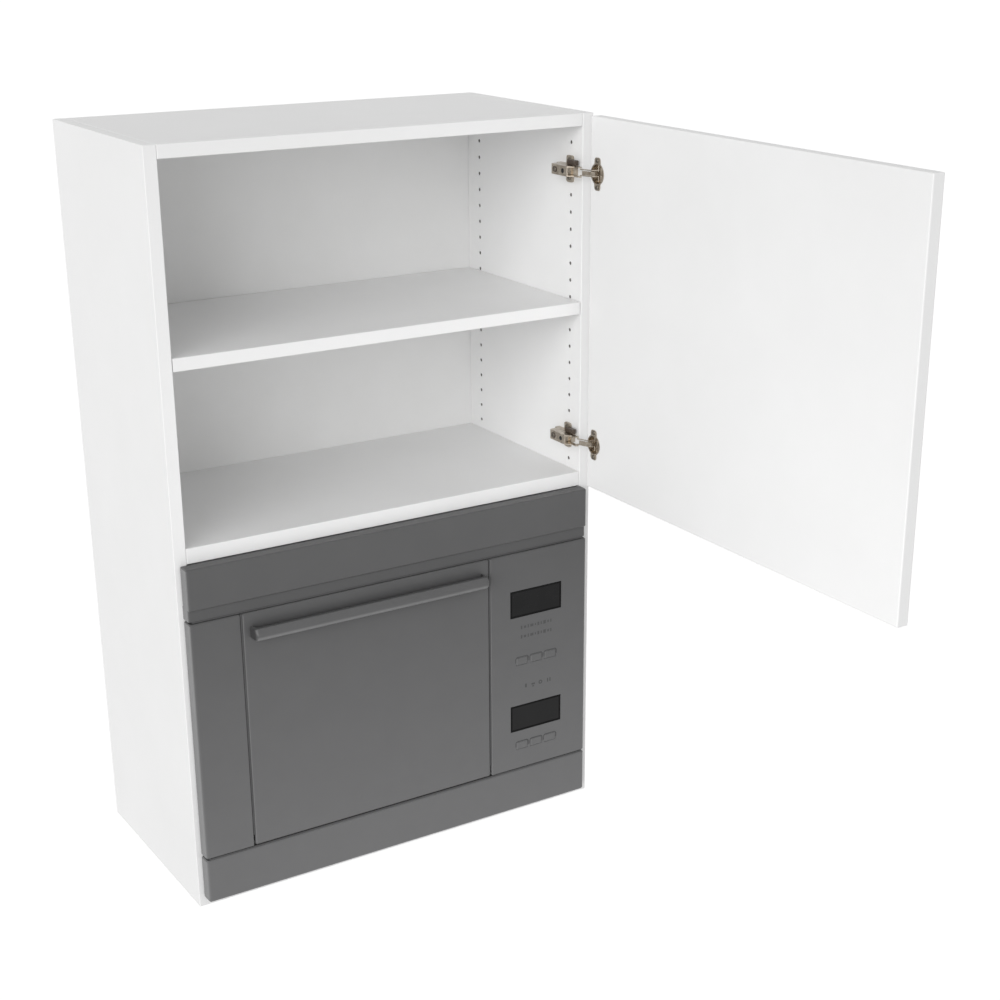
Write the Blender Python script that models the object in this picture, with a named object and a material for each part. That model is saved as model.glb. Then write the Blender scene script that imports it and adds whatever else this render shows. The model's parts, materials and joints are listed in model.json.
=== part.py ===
"""Wall cabinet with an open upper compartment, a side-hung door and a built-in microwave below.

Cabinet coordinates, in metres: x runs right from the left side's outer face, y runs back from the front
edges of the carcass, z runs up from the underside. The root empty moves them so that the scene's origin
is on the wall, at the centre of the upper hanging rail's rear face.
The cabinet door stands open by a quarter turn. Its pieces are written as they lie with the door shut.
"""

import math

import bmesh
import bpy
from mathutils import Matrix, Vector

# General clearances
GAP = 0.0003
OVERRUN = 0.002
MERGE = 0.000001
ROUND_LIMIT = math.radians(40)
SMOOTH_LIMIT = math.radians(35)

# Carcass boards
WIDTH = 0.600
DEPTH = 0.300
HEIGHT = 0.960
BOARD = 0.016
FIXED_BOARD = 0.0195
BOARD_EDGE = 0.0006
NICHE_HEIGHT = 0.4514
BACK_THICKNESS = 0.004
BACK_INSET = 0.012
BACK_GROOVE_DEPTH = 0.006
RAIL_HEIGHT = 0.080

# Shelf, its pins and the rows of holes
HOLE_PITCH = 0.0222
HOLE_TOP_DROP = 0.0385
HOLE_LEAST_RISE = 0.010
HOLE_RADIUS = 0.0025
HOLE_DEPTH = 0.011
HOLE_SIDES = 8
FRONT_ROW_INSET = 0.026
REAR_ROW_INSET = 0.254
SHELF_HEIGHT_SHARE = 0.5
SHELF_SIDE_CLEARANCE = 0.001
SHELF_FRONT_INSET = 0.0005
SHELF_REAR_CLEARANCE = 0.0008
PIN_COLLAR_RADIUS = 0.0034
PIN_COLLAR_THICKNESS = 0.0012
PIN_SEAT_RISE = 0.0032
PIN_SEAT_THICKNESS = 0.0022
PIN_SEAT_LENGTH = 0.0075
PIN_SEAT_WIDTH = 0.0062

# Cabinet door and its swing
DOOR_THICKNESS = 0.016
DOOR_REVEAL = 0.003
DOOR_STANDOFF = 0.0015
DOOR_EDGE = 0.0012
DOOR_BOTTOM_RISE = 0.0041
DOOR_OPEN_BACK = 0.018
DOOR_REST_TURN = math.pi / 2

# Concealed hinges
HINGE_FROM_DOOR_END = 0.0655
HINGE_ROW_SHARE = 0.5
CUP_RADIUS = 0.013
CUP_WALL = 0.0008
CUP_DEPTH = 0.0123
CUP_TAB = 0.003
CUP_RIM_WIDTH = 0.0008
CUP_RIM_STEP = 0.0001
CUP_FLANGE_THICKNESS = 0.0008
CUP_FLANGE_HEIGHT = 0.041
CUP_FLANGE_WIDTH = 0.0125
CUP_FLANGE_CORNER = 0.004
CUP_BORE_CLEARANCE = 0.0003
CUP_SIDES = 28
PLATE_WING_HEIGHT = 0.034
PLATE_WING_WIDTH = 0.014
PLATE_WING_THICKNESS = 0.0025
PLATE_CORNER = 0.003
PLATE_BODY_START = 0.010
PLATE_BODY_LENGTH = 0.0385
PLATE_BODY_WIDTH = 0.013
PLATE_BODY_THICKNESS = 0.007
ARM_WIDTH = 0.0128
ARM_SHEET = 0.0012
ARM_WEB = 0.0014
ARM_HEIGHT = 0.0123
ARM_REAR = 0.0435
ARM_REAR_CORNER = 0.002
ARM_WEB_START = 0.006
ARM_NOSE_RADIUS = 0.003
ARM_NOSE_BACKSET = 0.0102
ARM_NOSE_REACH = 0.007
ARM_SHOULDER_START = 0.0002
ARM_SHOULDER_LENGTH = 0.0063
ARM_NOSE_STEPS = 6
LINK_THICKNESS = 0.0012
LINK_PIN_RADIUS = 0.001
LINK_PIN_CLEARANCE = 0.0004
LINK_PIN_SIDES = 10
OUTER_LINK_WIDTH = 0.0088
OUTER_LINK_GAP = 0.0064
OUTER_PIN_FROM_EDGE = 0.011
OUTER_PIN_DEPTH = 0.005
OUTER_BEND_OUT = 0.0035
OUTER_BEND_UP = 0.0075
OUTER_TIP_OUT = 0.0205
OUTER_TIP_UP = 0.0145
INNER_LINK_WIDTH = 0.0052
INNER_PIN_FROM_EDGE = 0.0145
INNER_PIN_DEPTH = 0.0064
INNER_BEND_OUT = 0.002
INNER_BEND_UP = 0.0087
INNER_TIP_OUT = 0.0190
INNER_TIP_UP = 0.0161

# Microwave: front
FACIA_LEFT_INSET = 0.0065
FACIA_RIGHT_INSET = 0.0155
FACIA_BOTTOM = 0.0135
FACIA_PROUD = 0.019
FACIA_LEFT_RADIUS = 0.003
FACIA_RIGHT_RADIUS = 0.005
FACIA_EDGE = 0.0014
FACIA_ARC_STEPS = 4
PANEL_GAP = 0.0028
BOTTOM_BAND_HEIGHT = 0.0596
TOP_BAND_HEIGHT = 0.0537
LIP_HEIGHT = 0.014
LIP_SETBACK = 0.003
LEFT_FILLER_WIDTH = 0.0656
CONTROL_PANEL_WIDTH = 0.1541

# Microwave: controls
DISPLAY_WIDTH = 0.082
DISPLAY_HEIGHT = 0.0385
DISPLAY_THICKNESS = 0.0016
DISPLAY_SETBACK = 0.0003
DISPLAY_FROM_RIGHT = 0.0413
UPPER_DISPLAY_HEIGHT_SHARE = 0.7113
LOWER_DISPLAY_HEIGHT_SHARE = 0.1812
KEY_WIDTH = 0.0178
KEY_HEIGHT = 0.0106
KEY_PITCH = 0.0230
KEY_COLUMNS = 3
KEY_LENGTH = 0.0074
KEY_PROUD = 0.0006
KEY_EDGE = 0.0007
KEY_CLEARANCE = 0.0003
KEY_WELL_DEPTH = 0.0085
UPPER_KEYS_HEIGHT_SHARE = 0.5070
LOWER_KEYS_HEIGHT_SHARE = 0.1094

# Microwave: drop-down door
OVEN_DOOR_SKIN = 0.013
OVEN_AXIS_INSET = 0.004
OVEN_CORNER_STEPS = 5
INNER_DOOR_MARGIN = 0.003
INNER_DOOR_CLEARANCE = 0.0006
CHOKE_WIDTH = 0.010
CHOKE_DEPTH = 0.003
CHOKE_INSET = 0.014
PIVOT_PIN_RADIUS = 0.002
PIVOT_PIN_REACH = 0.012
PIVOT_PIN_SIDES = 12
PIVOT_PLATE_THICKNESS = 0.0012
PIVOT_PLATE_HEIGHT = 0.014
PIVOT_PLATE_NOSE = 0.0028
HOOK_WIDTH = 0.004
HOOK_REACH = 0.012
HOOK_HEIGHT = 0.008
HOOK_BARB = 0.0025
HOOK_BARB_LENGTH = 0.004
HOOK_FROM_SIDE = 0.030
HOOK_FROM_TOP = 0.011
HOOK_SLOT_CLEARANCE = 0.002
HANDLE_FROM_SIDE = 0.0088
HANDLE_TOP_DROP = 0.0171
HANDLE_HEIGHT = 0.017
HANDLE_DEPTH = 0.0192
HANDLE_SLOPE_DEPTH = 0.0055
HANDLE_NOSE_RADIUS = 0.004
HANDLE_EDGE = 0.0009
SCOOP_DEPTH = 0.0108
SCOOP_RADIUS = 0.0095
SCOOP_END_WALL = 0.005
SCOOP_FLOOR = 0.003

# Microwave: case and cavity
CASE_SIDE_INSET = 0.030
CASE_FLOOR_GAP = 0.008
CASE_TOP_GAP = 0.0154
CASE_REAR_ROOM = 0.038
CASE_SHEET = 0.0012
FOOT_SIZE = 0.022
FOOT_INSET = 0.030
VENT_ROWS = 7
VENT_WIDTH = 0.060
VENT_HEIGHT = 0.004
VENT_PITCH = 0.010
VENT_FROM_LEFT = 0.125
VENT_TOP_DROP = 0.060
CAVITY_SIDE_INSET = 0.0172
CAVITY_SHEET = 0.001
CAVITY_FLANGE = 0.011
CAVITY_FLOOR_RISE = 0.0301
CAVITY_CEILING_DROP = 0.0256
CAVITY_REAR_ROOM = 0.015
CAVITY_CORNER = 0.006
SHAFT_HOLE_RADIUS = 0.007

# Microwave: turntable
PLATE_CLEARANCE = 0.00525
ROLLER_RING_INSET = 0.039
ROLLER_RING_WIDTH = 0.005
ROLLER_RING_HEIGHT = 0.003
ROLLER_COUNT = 3
ROLLER_RADIUS = 0.006
ROLLER_WIDTH = 0.008
ROLLER_SIDES = 14
RING_SIDES = 36
PLATE_SHEET = 0.005
PLATE_RIM_HEIGHT = 0.0135
PLATE_RIM_WIDTH = 0.0025
PLATE_SLOPE_WIDTH = 0.0175
PLATE_SIDES = 44
COUPLER_HUB_RADIUS = 0.012
COUPLER_LOBE_LENGTH = 0.026
COUPLER_LOBE_WIDTH = 0.010
COUPLER_HEIGHT = 0.0068
COUPLER_SIDES = 18
SHAFT_RADIUS = 0.0035
SHAFT_REACH = 0.010
SHAFT_SIDES = 12
MOTOR_RADIUS = 0.025
MOTOR_HEIGHT = 0.017
MOTOR_SOCKET_RADIUS = 0.0042
MOTOR_SIDES = 28

# Microwave: magnetron on its wave guide, transformer and cooling fan, in the bay beside the cavity
PORT_LENGTH = 0.050
PORT_HEIGHT = 0.036
PORT_FROM_REAR = 0.062
PORT_DROP = 0.075
PORT_COVER_MARGIN = 0.008
PORT_COVER_THICKNESS = 0.0012
GUIDE_DEPTH = 0.018
GUIDE_MARGIN = 0.012
GUIDE_SHEET = 0.002
MAGNETRON_REACH = 0.058
MAGNETRON_LENGTH = 0.062
MAGNETRON_HEIGHT = 0.052
FIN_SLOTS = 6
FIN_SLOT_WIDTH = 0.0045
FIN_SLOT_DEPTH = 0.016
TERMINAL_REACH = 0.018
TERMINAL_SIZE = 0.032
TRANSFORMER_WIDTH = 0.078
TRANSFORMER_LENGTH = 0.062
TRANSFORMER_HEIGHT = 0.058
TRANSFORMER_FROM_FRONT = 0.060
WINDING_WIDTH = 0.052
WINDING_HEIGHT = 0.040
WINDING_PROUD = 0.014
WINDING_RADIUS = 0.010
FLANGE_WIDTH = 0.092
FLANGE_THICKNESS = 0.002
FAN_FRAME_SIZE = 0.080
FAN_FRAME_DEPTH = 0.020
FAN_BORE_RADIUS = 0.0365
FAN_BORE_SIDES = 32
SPIDER_ARMS = 3
SPIDER_WIDTH = 0.005
SPIDER_THICKNESS = 0.004
SPIDER_STEP = 0.0002
BOSS_RADIUS = 0.008
BOSS_SIDES = 20
SPINDLE_RADIUS = 0.0018
SPINDLE_CLEARANCE = 0.0003
SPINDLE_SEAT = 0.003
SPINDLE_SIDES = 12
ROTOR_HUB_RADIUS = 0.012
ROTOR_HUB_LENGTH = 0.010
ROTOR_REAR_GAP = 0.002
BLADE_COUNT = 7
BLADE_RADIUS = 0.035
BLADE_CHORD = 0.013
BLADE_THICKNESS = 0.0014
BLADE_PITCH = math.radians(35)

# Places that follow from the sizes above
INSIDE_RIGHT = WIDTH - BOARD
TOP_UNDERSIDE = HEIGHT - BOARD
FIXED_UNDERSIDE = BOARD + NICHE_HEIGHT
FIXED_TOP = FIXED_UNDERSIDE + FIXED_BOARD
BACK_REAR = DEPTH - BACK_INSET
BACK_FRONT = BACK_REAR - BACK_THICKNESS
TOP_HOLE = HEIGHT - HOLE_TOP_DROP
HOLE_ROWS = 1 + math.floor((TOP_HOLE - FIXED_TOP - HOLE_LEAST_RISE) / HOLE_PITCH)
SHELF_HOLE = TOP_HOLE - round(HOLE_ROWS * SHELF_HEIGHT_SHARE) * HOLE_PITCH
SHELF_UNDERSIDE = SHELF_HOLE + PIN_SEAT_RISE + GAP
RAIL_CENTRE = TOP_UNDERSIDE - GAP - RAIL_HEIGHT / 2
DOOR_HINGE_EDGE = WIDTH - DOOR_REVEAL
DOOR_INNER = -DOOR_STANDOFF
DOOR_OUTER = -DOOR_STANDOFF - DOOR_THICKNESS
DOOR_BOTTOM = FIXED_UNDERSIDE + DOOR_BOTTOM_RISE
DOOR_TOP = HEIGHT - DOOR_STANDOFF
AXIS_REACH = INSIDE_RIGHT - DOOR_STANDOFF
AXIS_SETBACK = DOOR_HINGE_EDGE + DOOR_OPEN_BACK
AXIS_X = (AXIS_REACH + AXIS_SETBACK) / 2
AXIS_Y = (AXIS_REACH - AXIS_SETBACK) / 2
CUP_X = DOOR_HINGE_EDGE - CUP_TAB - CUP_RADIUS
FLANGE_UNDERSIDE = DOOR_INNER + GAP
FLANGE_TOP = FLANGE_UNDERSIDE + CUP_FLANGE_THICKNESS
CUP_BOTTOM = DOOR_INNER - CUP_DEPTH
PLATE_BODY_FACE = INSIDE_RIGHT - GAP - PLATE_BODY_THICKNESS
ARM_FOOT = PLATE_BODY_FACE - GAP
ARM_TOP = ARM_FOOT - ARM_HEIGHT
FACIA_LEFT = FACIA_LEFT_INSET
FACIA_RIGHT = WIDTH - FACIA_RIGHT_INSET
FACIA_TOP = FIXED_UNDERSIDE - GAP
FACIA_FRONT = -FACIA_PROUD
FACIA_REAR = -GAP
MAIN_ROW_BOTTOM = FACIA_BOTTOM + BOTTOM_BAND_HEIGHT + PANEL_GAP
TOP_BAND_BOTTOM = FACIA_TOP - TOP_BAND_HEIGHT
LIP_BOTTOM = TOP_BAND_BOTTOM - LIP_HEIGHT
MAIN_ROW_TOP = LIP_BOTTOM - PANEL_GAP
MAIN_ROW_HEIGHT = MAIN_ROW_TOP - MAIN_ROW_BOTTOM
CONTROLS_LEFT = FACIA_RIGHT - CONTROL_PANEL_WIDTH
OVEN_DOOR_LEFT = FACIA_LEFT + LEFT_FILLER_WIDTH + PANEL_GAP
OVEN_DOOR_RIGHT = CONTROLS_LEFT - PANEL_GAP
OVEN_AXIS_Y = FACIA_FRONT + OVEN_AXIS_INSET
OVEN_AXIS_Z = MAIN_ROW_BOTTOM + OVEN_AXIS_INSET
DISPLAY_RIGHT = FACIA_RIGHT - DISPLAY_FROM_RIGHT
KEYS_CENTRE_X = DISPLAY_RIGHT - DISPLAY_WIDTH / 2 + GAP
CASE_LEFT = CASE_SIDE_INSET
CASE_RIGHT = WIDTH - CASE_SIDE_INSET
CASE_BOTTOM = BOARD + CASE_FLOOR_GAP
CASE_TOP = FIXED_UNDERSIDE - CASE_TOP_GAP
CASE_REAR = DEPTH - CASE_REAR_ROOM
CHASSIS_REAR = CASE_SHEET
CAVITY_FRONT = CHASSIS_REAR + GAP
CAVITY_X = (OVEN_DOOR_LEFT + OVEN_DOOR_RIGHT) / 2
CAVITY_LEFT = OVEN_DOOR_LEFT + CAVITY_SIDE_INSET
CAVITY_RIGHT = OVEN_DOOR_RIGHT - CAVITY_SIDE_INSET
CAVITY_FLOOR = MAIN_ROW_BOTTOM + CAVITY_FLOOR_RISE
CAVITY_CEILING = MAIN_ROW_TOP - CAVITY_CEILING_DROP
CAVITY_REAR = CASE_REAR - CAVITY_REAR_ROOM
TURNTABLE_Y = (CAVITY_FRONT + CAVITY_REAR) / 2
PLATE_RADIUS = min(CAVITY_X - CAVITY_LEFT, TURNTABLE_Y - CAVITY_FRONT) - PLATE_CLEARANCE
PLATE_FLAT_RADIUS = PLATE_RADIUS - PLATE_SLOPE_WIDTH
ROLLER_RING_RADIUS = PLATE_RADIUS - ROLLER_RING_INSET
ROLLER_AXLE = CAVITY_FLOOR + GAP + ROLLER_RADIUS
TURNTABLE_SEAT = ROLLER_AXLE + ROLLER_RADIUS + GAP
BAY_X = (CAVITY_RIGHT + CAVITY_FLANGE + CASE_RIGHT - CASE_SHEET) / 2
BAY_FLOOR = CASE_BOTTOM + CASE_SHEET + GAP
PORT_Y = CAVITY_REAR - PORT_FROM_REAR
PORT_Z = CAVITY_CEILING - PORT_DROP
FAN_REAR = CASE_REAR - CASE_SHEET - GAP
FAN_FRONT = FAN_REAR - FAN_FRAME_DEPTH
FAN_Z = CASE_TOP - VENT_TOP_DROP - (VENT_ROWS - 1) * VENT_PITCH / 2 + VENT_HEIGHT / 2


class Place:
    """An empty that carries pieces, and the point of the cabinet that the empty stands on."""

    def __init__(self, name, point, carrier=None, turn=0.0):
        self.point = Vector(point)
        self.empty = bpy.data.objects.new(name, None)
        bpy.context.scene.collection.objects.link(self.empty)
        self.empty.rotation_euler.z = turn
        if carrier is not None:
            self.empty.parent = carrier.empty
            self.empty.location = self.point - carrier.point


def clear_scene():
    for found in list(bpy.data.objects):
        bpy.data.objects.remove(found)


def finish(name, colour, roughness, metallic=0.0):
    made = bpy.data.materials.new(name)
    made.use_nodes = True
    shader = made.node_tree.nodes["Principled BSDF"]
    shader.inputs["Base Color"].default_value = (*colour, 1.0)
    shader.inputs["Roughness"].default_value = roughness
    shader.inputs["Metallic"].default_value = metallic
    return made


def add(name, form, surface, place):
    """The form as an object carried by the place's empty."""
    bmesh.ops.recalc_face_normals(form, faces=form.faces)
    bmesh.ops.translate(form, verts=form.verts, vec=-place.point)
    mesh = bpy.data.meshes.new(name)
    form.to_mesh(mesh)
    form.free()
    made = bpy.data.objects.new(name, mesh)
    bpy.context.scene.collection.objects.link(made)
    made.parent = place.empty
    if surface is not None:
        mesh.materials.append(surface)
    return made


def smooth(made):
    made.data.shade_smooth()
    made.data.set_sharp_from_angle(angle=SMOOTH_LIMIT)


def round_edges(made, width, segments=1):
    bevel = made.modifiers.new("rounded edges", "BEVEL")
    bevel.width = width
    bevel.segments = segments
    bevel.limit_method = "ANGLE"
    bevel.angle_limit = ROUND_LIMIT


def combine(made, form, place, operation):
    """Joins the form to the object, or cuts it away, with a Boolean."""
    tool = add(f"{made.name}_tool", form, None, place)
    tool.hide_render = True
    tool.display_type = "WIRE"
    step = made.modifiers.new(tool.name, "BOOLEAN")
    step.operation = operation
    step.solver = "EXACT"
    step.object = tool


def cut(made, form, place):
    combine(made, form, place, "DIFFERENCE")


def fuse(made, form, place):
    combine(made, form, place, "UNION")


def put_box(form, low, high):
    low, high = Vector(low), Vector(high)
    size = Matrix.Diagonal((*(high - low), 1.0))
    bmesh.ops.create_cube(form, size=1.0, matrix=Matrix.Translation((low + high) / 2) @ size)


def box(low, high):
    form = bmesh.new()
    put_box(form, low, high)
    return form


def in_space(axis, u, v, along):
    """A point of an outline: (y, z) across the X axis, (x, z) across Y, or (x, y) across Z."""
    return {"X": (along, u, v), "Y": (u, along, v), "Z": (u, v, along)}[axis]


def put_prism(form, outline, axis, start, end):
    near = [form.verts.new(in_space(axis, u, v, start)) for u, v in outline]
    face = form.faces.new(near)
    grown = bmesh.ops.extrude_face_region(form, geom=[face])["geom"]
    moved = [piece for piece in grown if isinstance(piece, bmesh.types.BMVert)]
    bmesh.ops.translate(form, verts=moved, vec=in_space(axis, 0.0, 0.0, end - start))


def prism(outline, axis, start, end):
    form = bmesh.new()
    put_prism(form, outline, axis, start, end)
    return form


def put_turned(form, profile, axis, centre, steps):
    """Spins a profile of (radius, along) points about an axis through the centre. It starts and ends on it."""
    across = {"X": (0.0, 1.0, 0.0), "Y": (1.0, 0.0, 0.0), "Z": (1.0, 0.0, 0.0)}[axis]
    along = Vector(in_space(axis, 0.0, 0.0, 1.0))
    points = [form.verts.new(Vector(centre) + Vector(across) * r + along * a) for r, a in profile]
    edges = [form.edges.new(pair) for pair in zip(points, points[1:])]
    bmesh.ops.spin(form, geom=points + edges, cent=centre, axis=along, angle=math.tau, steps=steps)
    bmesh.ops.remove_doubles(form, verts=form.verts, dist=MERGE)


def turned(profile, axis, centre, steps):
    form = bmesh.new()
    put_turned(form, profile, axis, centre, steps)
    return form


def rod_profile(radius, start, end):
    return [(0.0, start), (radius, start), (radius, end), (0.0, end)]


def arc(centre, radius, start, end, steps):
    angles = [start + (end - start) * step / steps for step in range(steps + 1)]
    return [(centre[0] + radius * math.cos(a), centre[1] + radius * math.sin(a)) for a in angles]


def rounded_rectangle(low, high, radius, steps):
    """Corners in turn from low, each an arc of the radius."""
    corners = [
        ((low[0] + radius, low[1] + radius), 2),
        ((high[0] - radius, low[1] + radius), 3),
        ((high[0] - radius, high[1] - radius), 0),
        ((low[0] + radius, high[1] - radius), 1),
    ]
    quarter = math.pi / 2
    return [
        point
        for centre, turns in corners
        for point in arc(centre, radius, turns * quarter, (turns + 1) * quarter, steps)
    ]


def front_outline(left, right, left_radius, right_radius, front, rear):
    """A front piece from above, with its two front corners rounded."""
    steps = FACIA_ARC_STEPS
    left_arc = arc((left + left_radius, front + left_radius), left_radius, math.pi, math.pi * 1.5, steps)
    right_arc = arc((right - right_radius, front + right_radius), right_radius, -math.pi / 2, 0.0, steps)
    return [(left, rear), *left_arc, *right_arc, (right, rear)]


def make_side(name, outer, inner, surface, place):
    """A side board, with its groove for the back and its two columns of shelf holes."""
    inward = math.copysign(1.0, inner - outer)
    made = add(name, box((min(outer, inner), 0, 0), (max(outer, inner), DEPTH, HEIGHT)), surface, place)
    round_edges(made, BOARD_EDGE)
    groove_end = inner - inward * BACK_GROOVE_DEPTH
    reach = inner + inward * OVERRUN
    low = (min(groove_end, reach), BACK_FRONT - GAP, FIXED_UNDERSIDE)
    high = (max(groove_end, reach), BACK_REAR + GAP, HEIGHT - BOARD_EDGE * 2)
    cut(made, box(low, high), place)
    holes = bmesh.new()
    for row in range(HOLE_ROWS):
        for inset in (FRONT_ROW_INSET, REAR_ROW_INSET):
            centre = (inner, inset, TOP_HOLE - row * HOLE_PITCH)
            profile = rod_profile(HOLE_RADIUS, -inward * HOLE_DEPTH, inward * OVERRUN)
            put_turned(holes, profile, "X", centre, HOLE_SIDES)
    cut(made, holes, place)


def make_carcass(surface, back_surface, place):
    left, right = BOARD + GAP, INSIDE_RIGHT - GAP
    make_side("left_side_panel", 0.0, BOARD, surface, place)
    make_side("right_side_panel", WIDTH, INSIDE_RIGHT, surface, place)
    boards = (
        ("top_panel", TOP_UNDERSIDE, HEIGHT),
        ("fixed_panel", FIXED_UNDERSIDE, FIXED_TOP),
        ("bottom_panel", 0.0, BOARD),
    )
    for name, bottom, top in boards:
        made = add(name, box((left, 0, bottom), (right, DEPTH, top)), surface, place)
        round_edges(made, BOARD_EDGE)
        if name == "bottom_panel":
            continue
        mouth = bottom if name == "top_panel" else top
        into = math.copysign(1.0, (bottom + top) / 2 - mouth)
        ends = (mouth - into * OVERRUN, mouth + into * BACK_GROOVE_DEPTH)
        low = (left - OVERRUN, BACK_FRONT - GAP, min(ends))
        high = (right + OVERRUN, BACK_REAR + GAP, max(ends))
        cut(made, box(low, high), place)
    bed = BACK_GROOVE_DEPTH - GAP
    low = (BOARD - bed, BACK_FRONT, FIXED_TOP - bed)
    high = (INSIDE_RIGHT + bed, BACK_REAR, TOP_UNDERSIDE + bed)
    add("back_panel", box(low, high), back_surface, place)
    rails = (
        ("hanging_rail_upper", BACK_REAR + GAP, RAIL_CENTRE - RAIL_HEIGHT / 2),
        ("hanging_rail_lower", DEPTH - BOARD, BOARD + GAP),
    )
    for name, front, bottom in rails:
        made = add(name, box((left, front, bottom), (right, DEPTH, bottom + RAIL_HEIGHT)), surface, place)
        round_edges(made, BOARD_EDGE)


def make_shelf(surface, pin_surface, place):
    low = (BOARD + SHELF_SIDE_CLEARANCE, SHELF_FRONT_INSET, SHELF_UNDERSIDE)
    high = (INSIDE_RIGHT - SHELF_SIDE_CLEARANCE, BACK_FRONT - SHELF_REAR_CLEARANCE, SHELF_UNDERSIDE + BOARD)
    shelf = add("adjustable_shelf", box(low, high), surface, place)
    round_edges(shelf, BOARD_EDGE)
    for side, wall, inward in (("left", BOARD, 1.0), ("right", INSIDE_RIGHT, -1.0)):
        for end, inset in (("front", FRONT_ROW_INSET), ("rear", REAR_ROW_INSET)):
            make_pin(f"shelf_pin_{side}_{end}", wall, inward, inset, pin_surface, place)


def make_pin(name, wall, inward, inset, surface, place):
    """A peg in its hole, a collar against the wall and a flat seat for the shelf."""
    centre = (wall, inset, SHELF_HOLE)
    peg = HOLE_RADIUS - GAP
    collar = PIN_COLLAR_THICKNESS + GAP
    profile = [
        (0.0, -inward * (HOLE_DEPTH - GAP)),
        (peg, -inward * (HOLE_DEPTH - GAP)),
        (peg, inward * GAP),
        (min(PIN_COLLAR_RADIUS, PIN_SEAT_RISE), inward * GAP),
        (min(PIN_COLLAR_RADIUS, PIN_SEAT_RISE), inward * collar),
        (0.0, inward * collar),
    ]
    made = add(name, turned(profile, "X", centre, HOLE_SIDES), surface, place)
    smooth(made)
    ends = (wall + inward * collar / 2, wall + inward * (collar + PIN_SEAT_LENGTH))
    top = SHELF_HOLE + PIN_SEAT_RISE
    low = (min(ends), inset - PIN_SEAT_WIDTH / 2, top - PIN_SEAT_THICKNESS)
    high = (max(ends), inset + PIN_SEAT_WIDTH / 2, top)
    fuse(made, box(low, high), place)


def make_cabinet_door(surface, place, hinge_heights):
    low = (DOOR_REVEAL, DOOR_OUTER, DOOR_BOTTOM)
    high = (DOOR_HINGE_EDGE, DOOR_INNER, DOOR_TOP)
    door = add("cabinet_door", box(low, high), surface, place)
    round_edges(door, DOOR_EDGE, segments=2)
    bores = bmesh.new()
    for height in hinge_heights:
        depth = CUP_DEPTH + GAP
        profile = rod_profile(CUP_RADIUS + CUP_BORE_CLEARANCE, -depth, OVERRUN)
        put_turned(bores, profile, "Y", (CUP_X, DOOR_INNER, height), CUP_SIDES)
    cut(door, bores, place)


def make_cup(name, height, surface, place):
    """The drilled-in cup: a turned pot with a rim, and a flange with two wings."""
    inside = CUP_RADIUS - CUP_WALL
    floor = CUP_BOTTOM + CUP_WALL
    profile = [
        (0.0, CUP_BOTTOM),
        (CUP_RADIUS, CUP_BOTTOM),
        (CUP_RADIUS, FLANGE_UNDERSIDE + CUP_RIM_STEP),
        (CUP_RADIUS + CUP_RIM_WIDTH, FLANGE_UNDERSIDE + CUP_RIM_STEP),
        (CUP_RADIUS + CUP_RIM_WIDTH, FLANGE_TOP),
        (0.0, FLANGE_TOP),
    ]
    made = add(name, turned(profile, "Y", (CUP_X, 0.0, height), CUP_SIDES), surface, place)
    smooth(made)
    half_width, half_height = CUP_FLANGE_WIDTH / 2, CUP_FLANGE_HEIGHT / 2
    low, high = (CUP_X - half_width, height - half_height), (CUP_X + half_width, height + half_height)
    outline = rounded_rectangle(low, high, CUP_FLANGE_CORNER, ARM_NOSE_STEPS)
    wings = prism(outline, "Y", FLANGE_UNDERSIDE, FLANGE_TOP - CUP_RIM_STEP)
    fuse(made, wings, place)
    mouth = rod_profile(inside, floor, FLANGE_TOP + OVERRUN)
    cut(made, turned(mouth, "Y", (CUP_X, 0.0, height), CUP_SIDES), place)


def make_mounting_plate(name, height, surface, place):
    """A cross: two wings on the side board, and a body that carries the arm."""
    base = INSIDE_RIGHT - GAP
    half_width, half_height = PLATE_WING_WIDTH / 2, PLATE_WING_HEIGHT / 2
    low = (FRONT_ROW_INSET - half_width, height - half_height)
    high = (FRONT_ROW_INSET + half_width, height + half_height)
    outline = rounded_rectangle(low, high, PLATE_CORNER, ARM_NOSE_STEPS // 2)
    made = add(name, prism(outline, "X", base - PLATE_WING_THICKNESS, base), surface, place)
    half_body = PLATE_BODY_WIDTH / 2
    low = (base - PLATE_BODY_THICKNESS, PLATE_BODY_START, height - half_body)
    high = (base, PLATE_BODY_START + PLATE_BODY_LENGTH, height + half_body)
    fuse(made, box(low, high), place)


def make_arm(name, height, surface, place):
    """A channel, open towards the side board, with two cheeks that reach out to a round nose."""
    nose_x = ARM_TOP + ARM_NOSE_BACKSET
    nose_arc = arc((nose_x, -ARM_NOSE_REACH), ARM_NOSE_RADIUS, math.pi, math.tau, ARM_NOSE_STEPS)
    shoulder = ARM_SHOULDER_START + ARM_SHOULDER_LENGTH
    outline = [
        (ARM_TOP, ARM_REAR - ARM_REAR_CORNER),
        (ARM_TOP, shoulder),
        (nose_x - ARM_NOSE_RADIUS, ARM_SHOULDER_START),
        *nose_arc,
        (ARM_FOOT, ARM_SHOULDER_START),
        (ARM_FOOT, ARM_REAR),
        (ARM_TOP + ARM_REAR_CORNER, ARM_REAR),
    ]
    half = ARM_WIDTH / 2
    made = add(name, prism(outline, "Z", height - half, height + half), surface, place)
    clear = half - ARM_SHEET
    nose_front = -ARM_NOSE_REACH - ARM_NOSE_RADIUS - OVERRUN
    channel = [
        (ARM_TOP - OVERRUN, nose_front),
        (ARM_FOOT + OVERRUN, nose_front),
        (ARM_FOOT + OVERRUN, ARM_REAR - ARM_WEB),
        (ARM_TOP + ARM_WEB, ARM_REAR - ARM_WEB),
        (ARM_TOP + ARM_WEB, ARM_WEB_START),
        (ARM_TOP - OVERRUN, ARM_WEB_START),
    ]
    cut(made, prism(channel, "Z", height - clear, height + clear), place)


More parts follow.
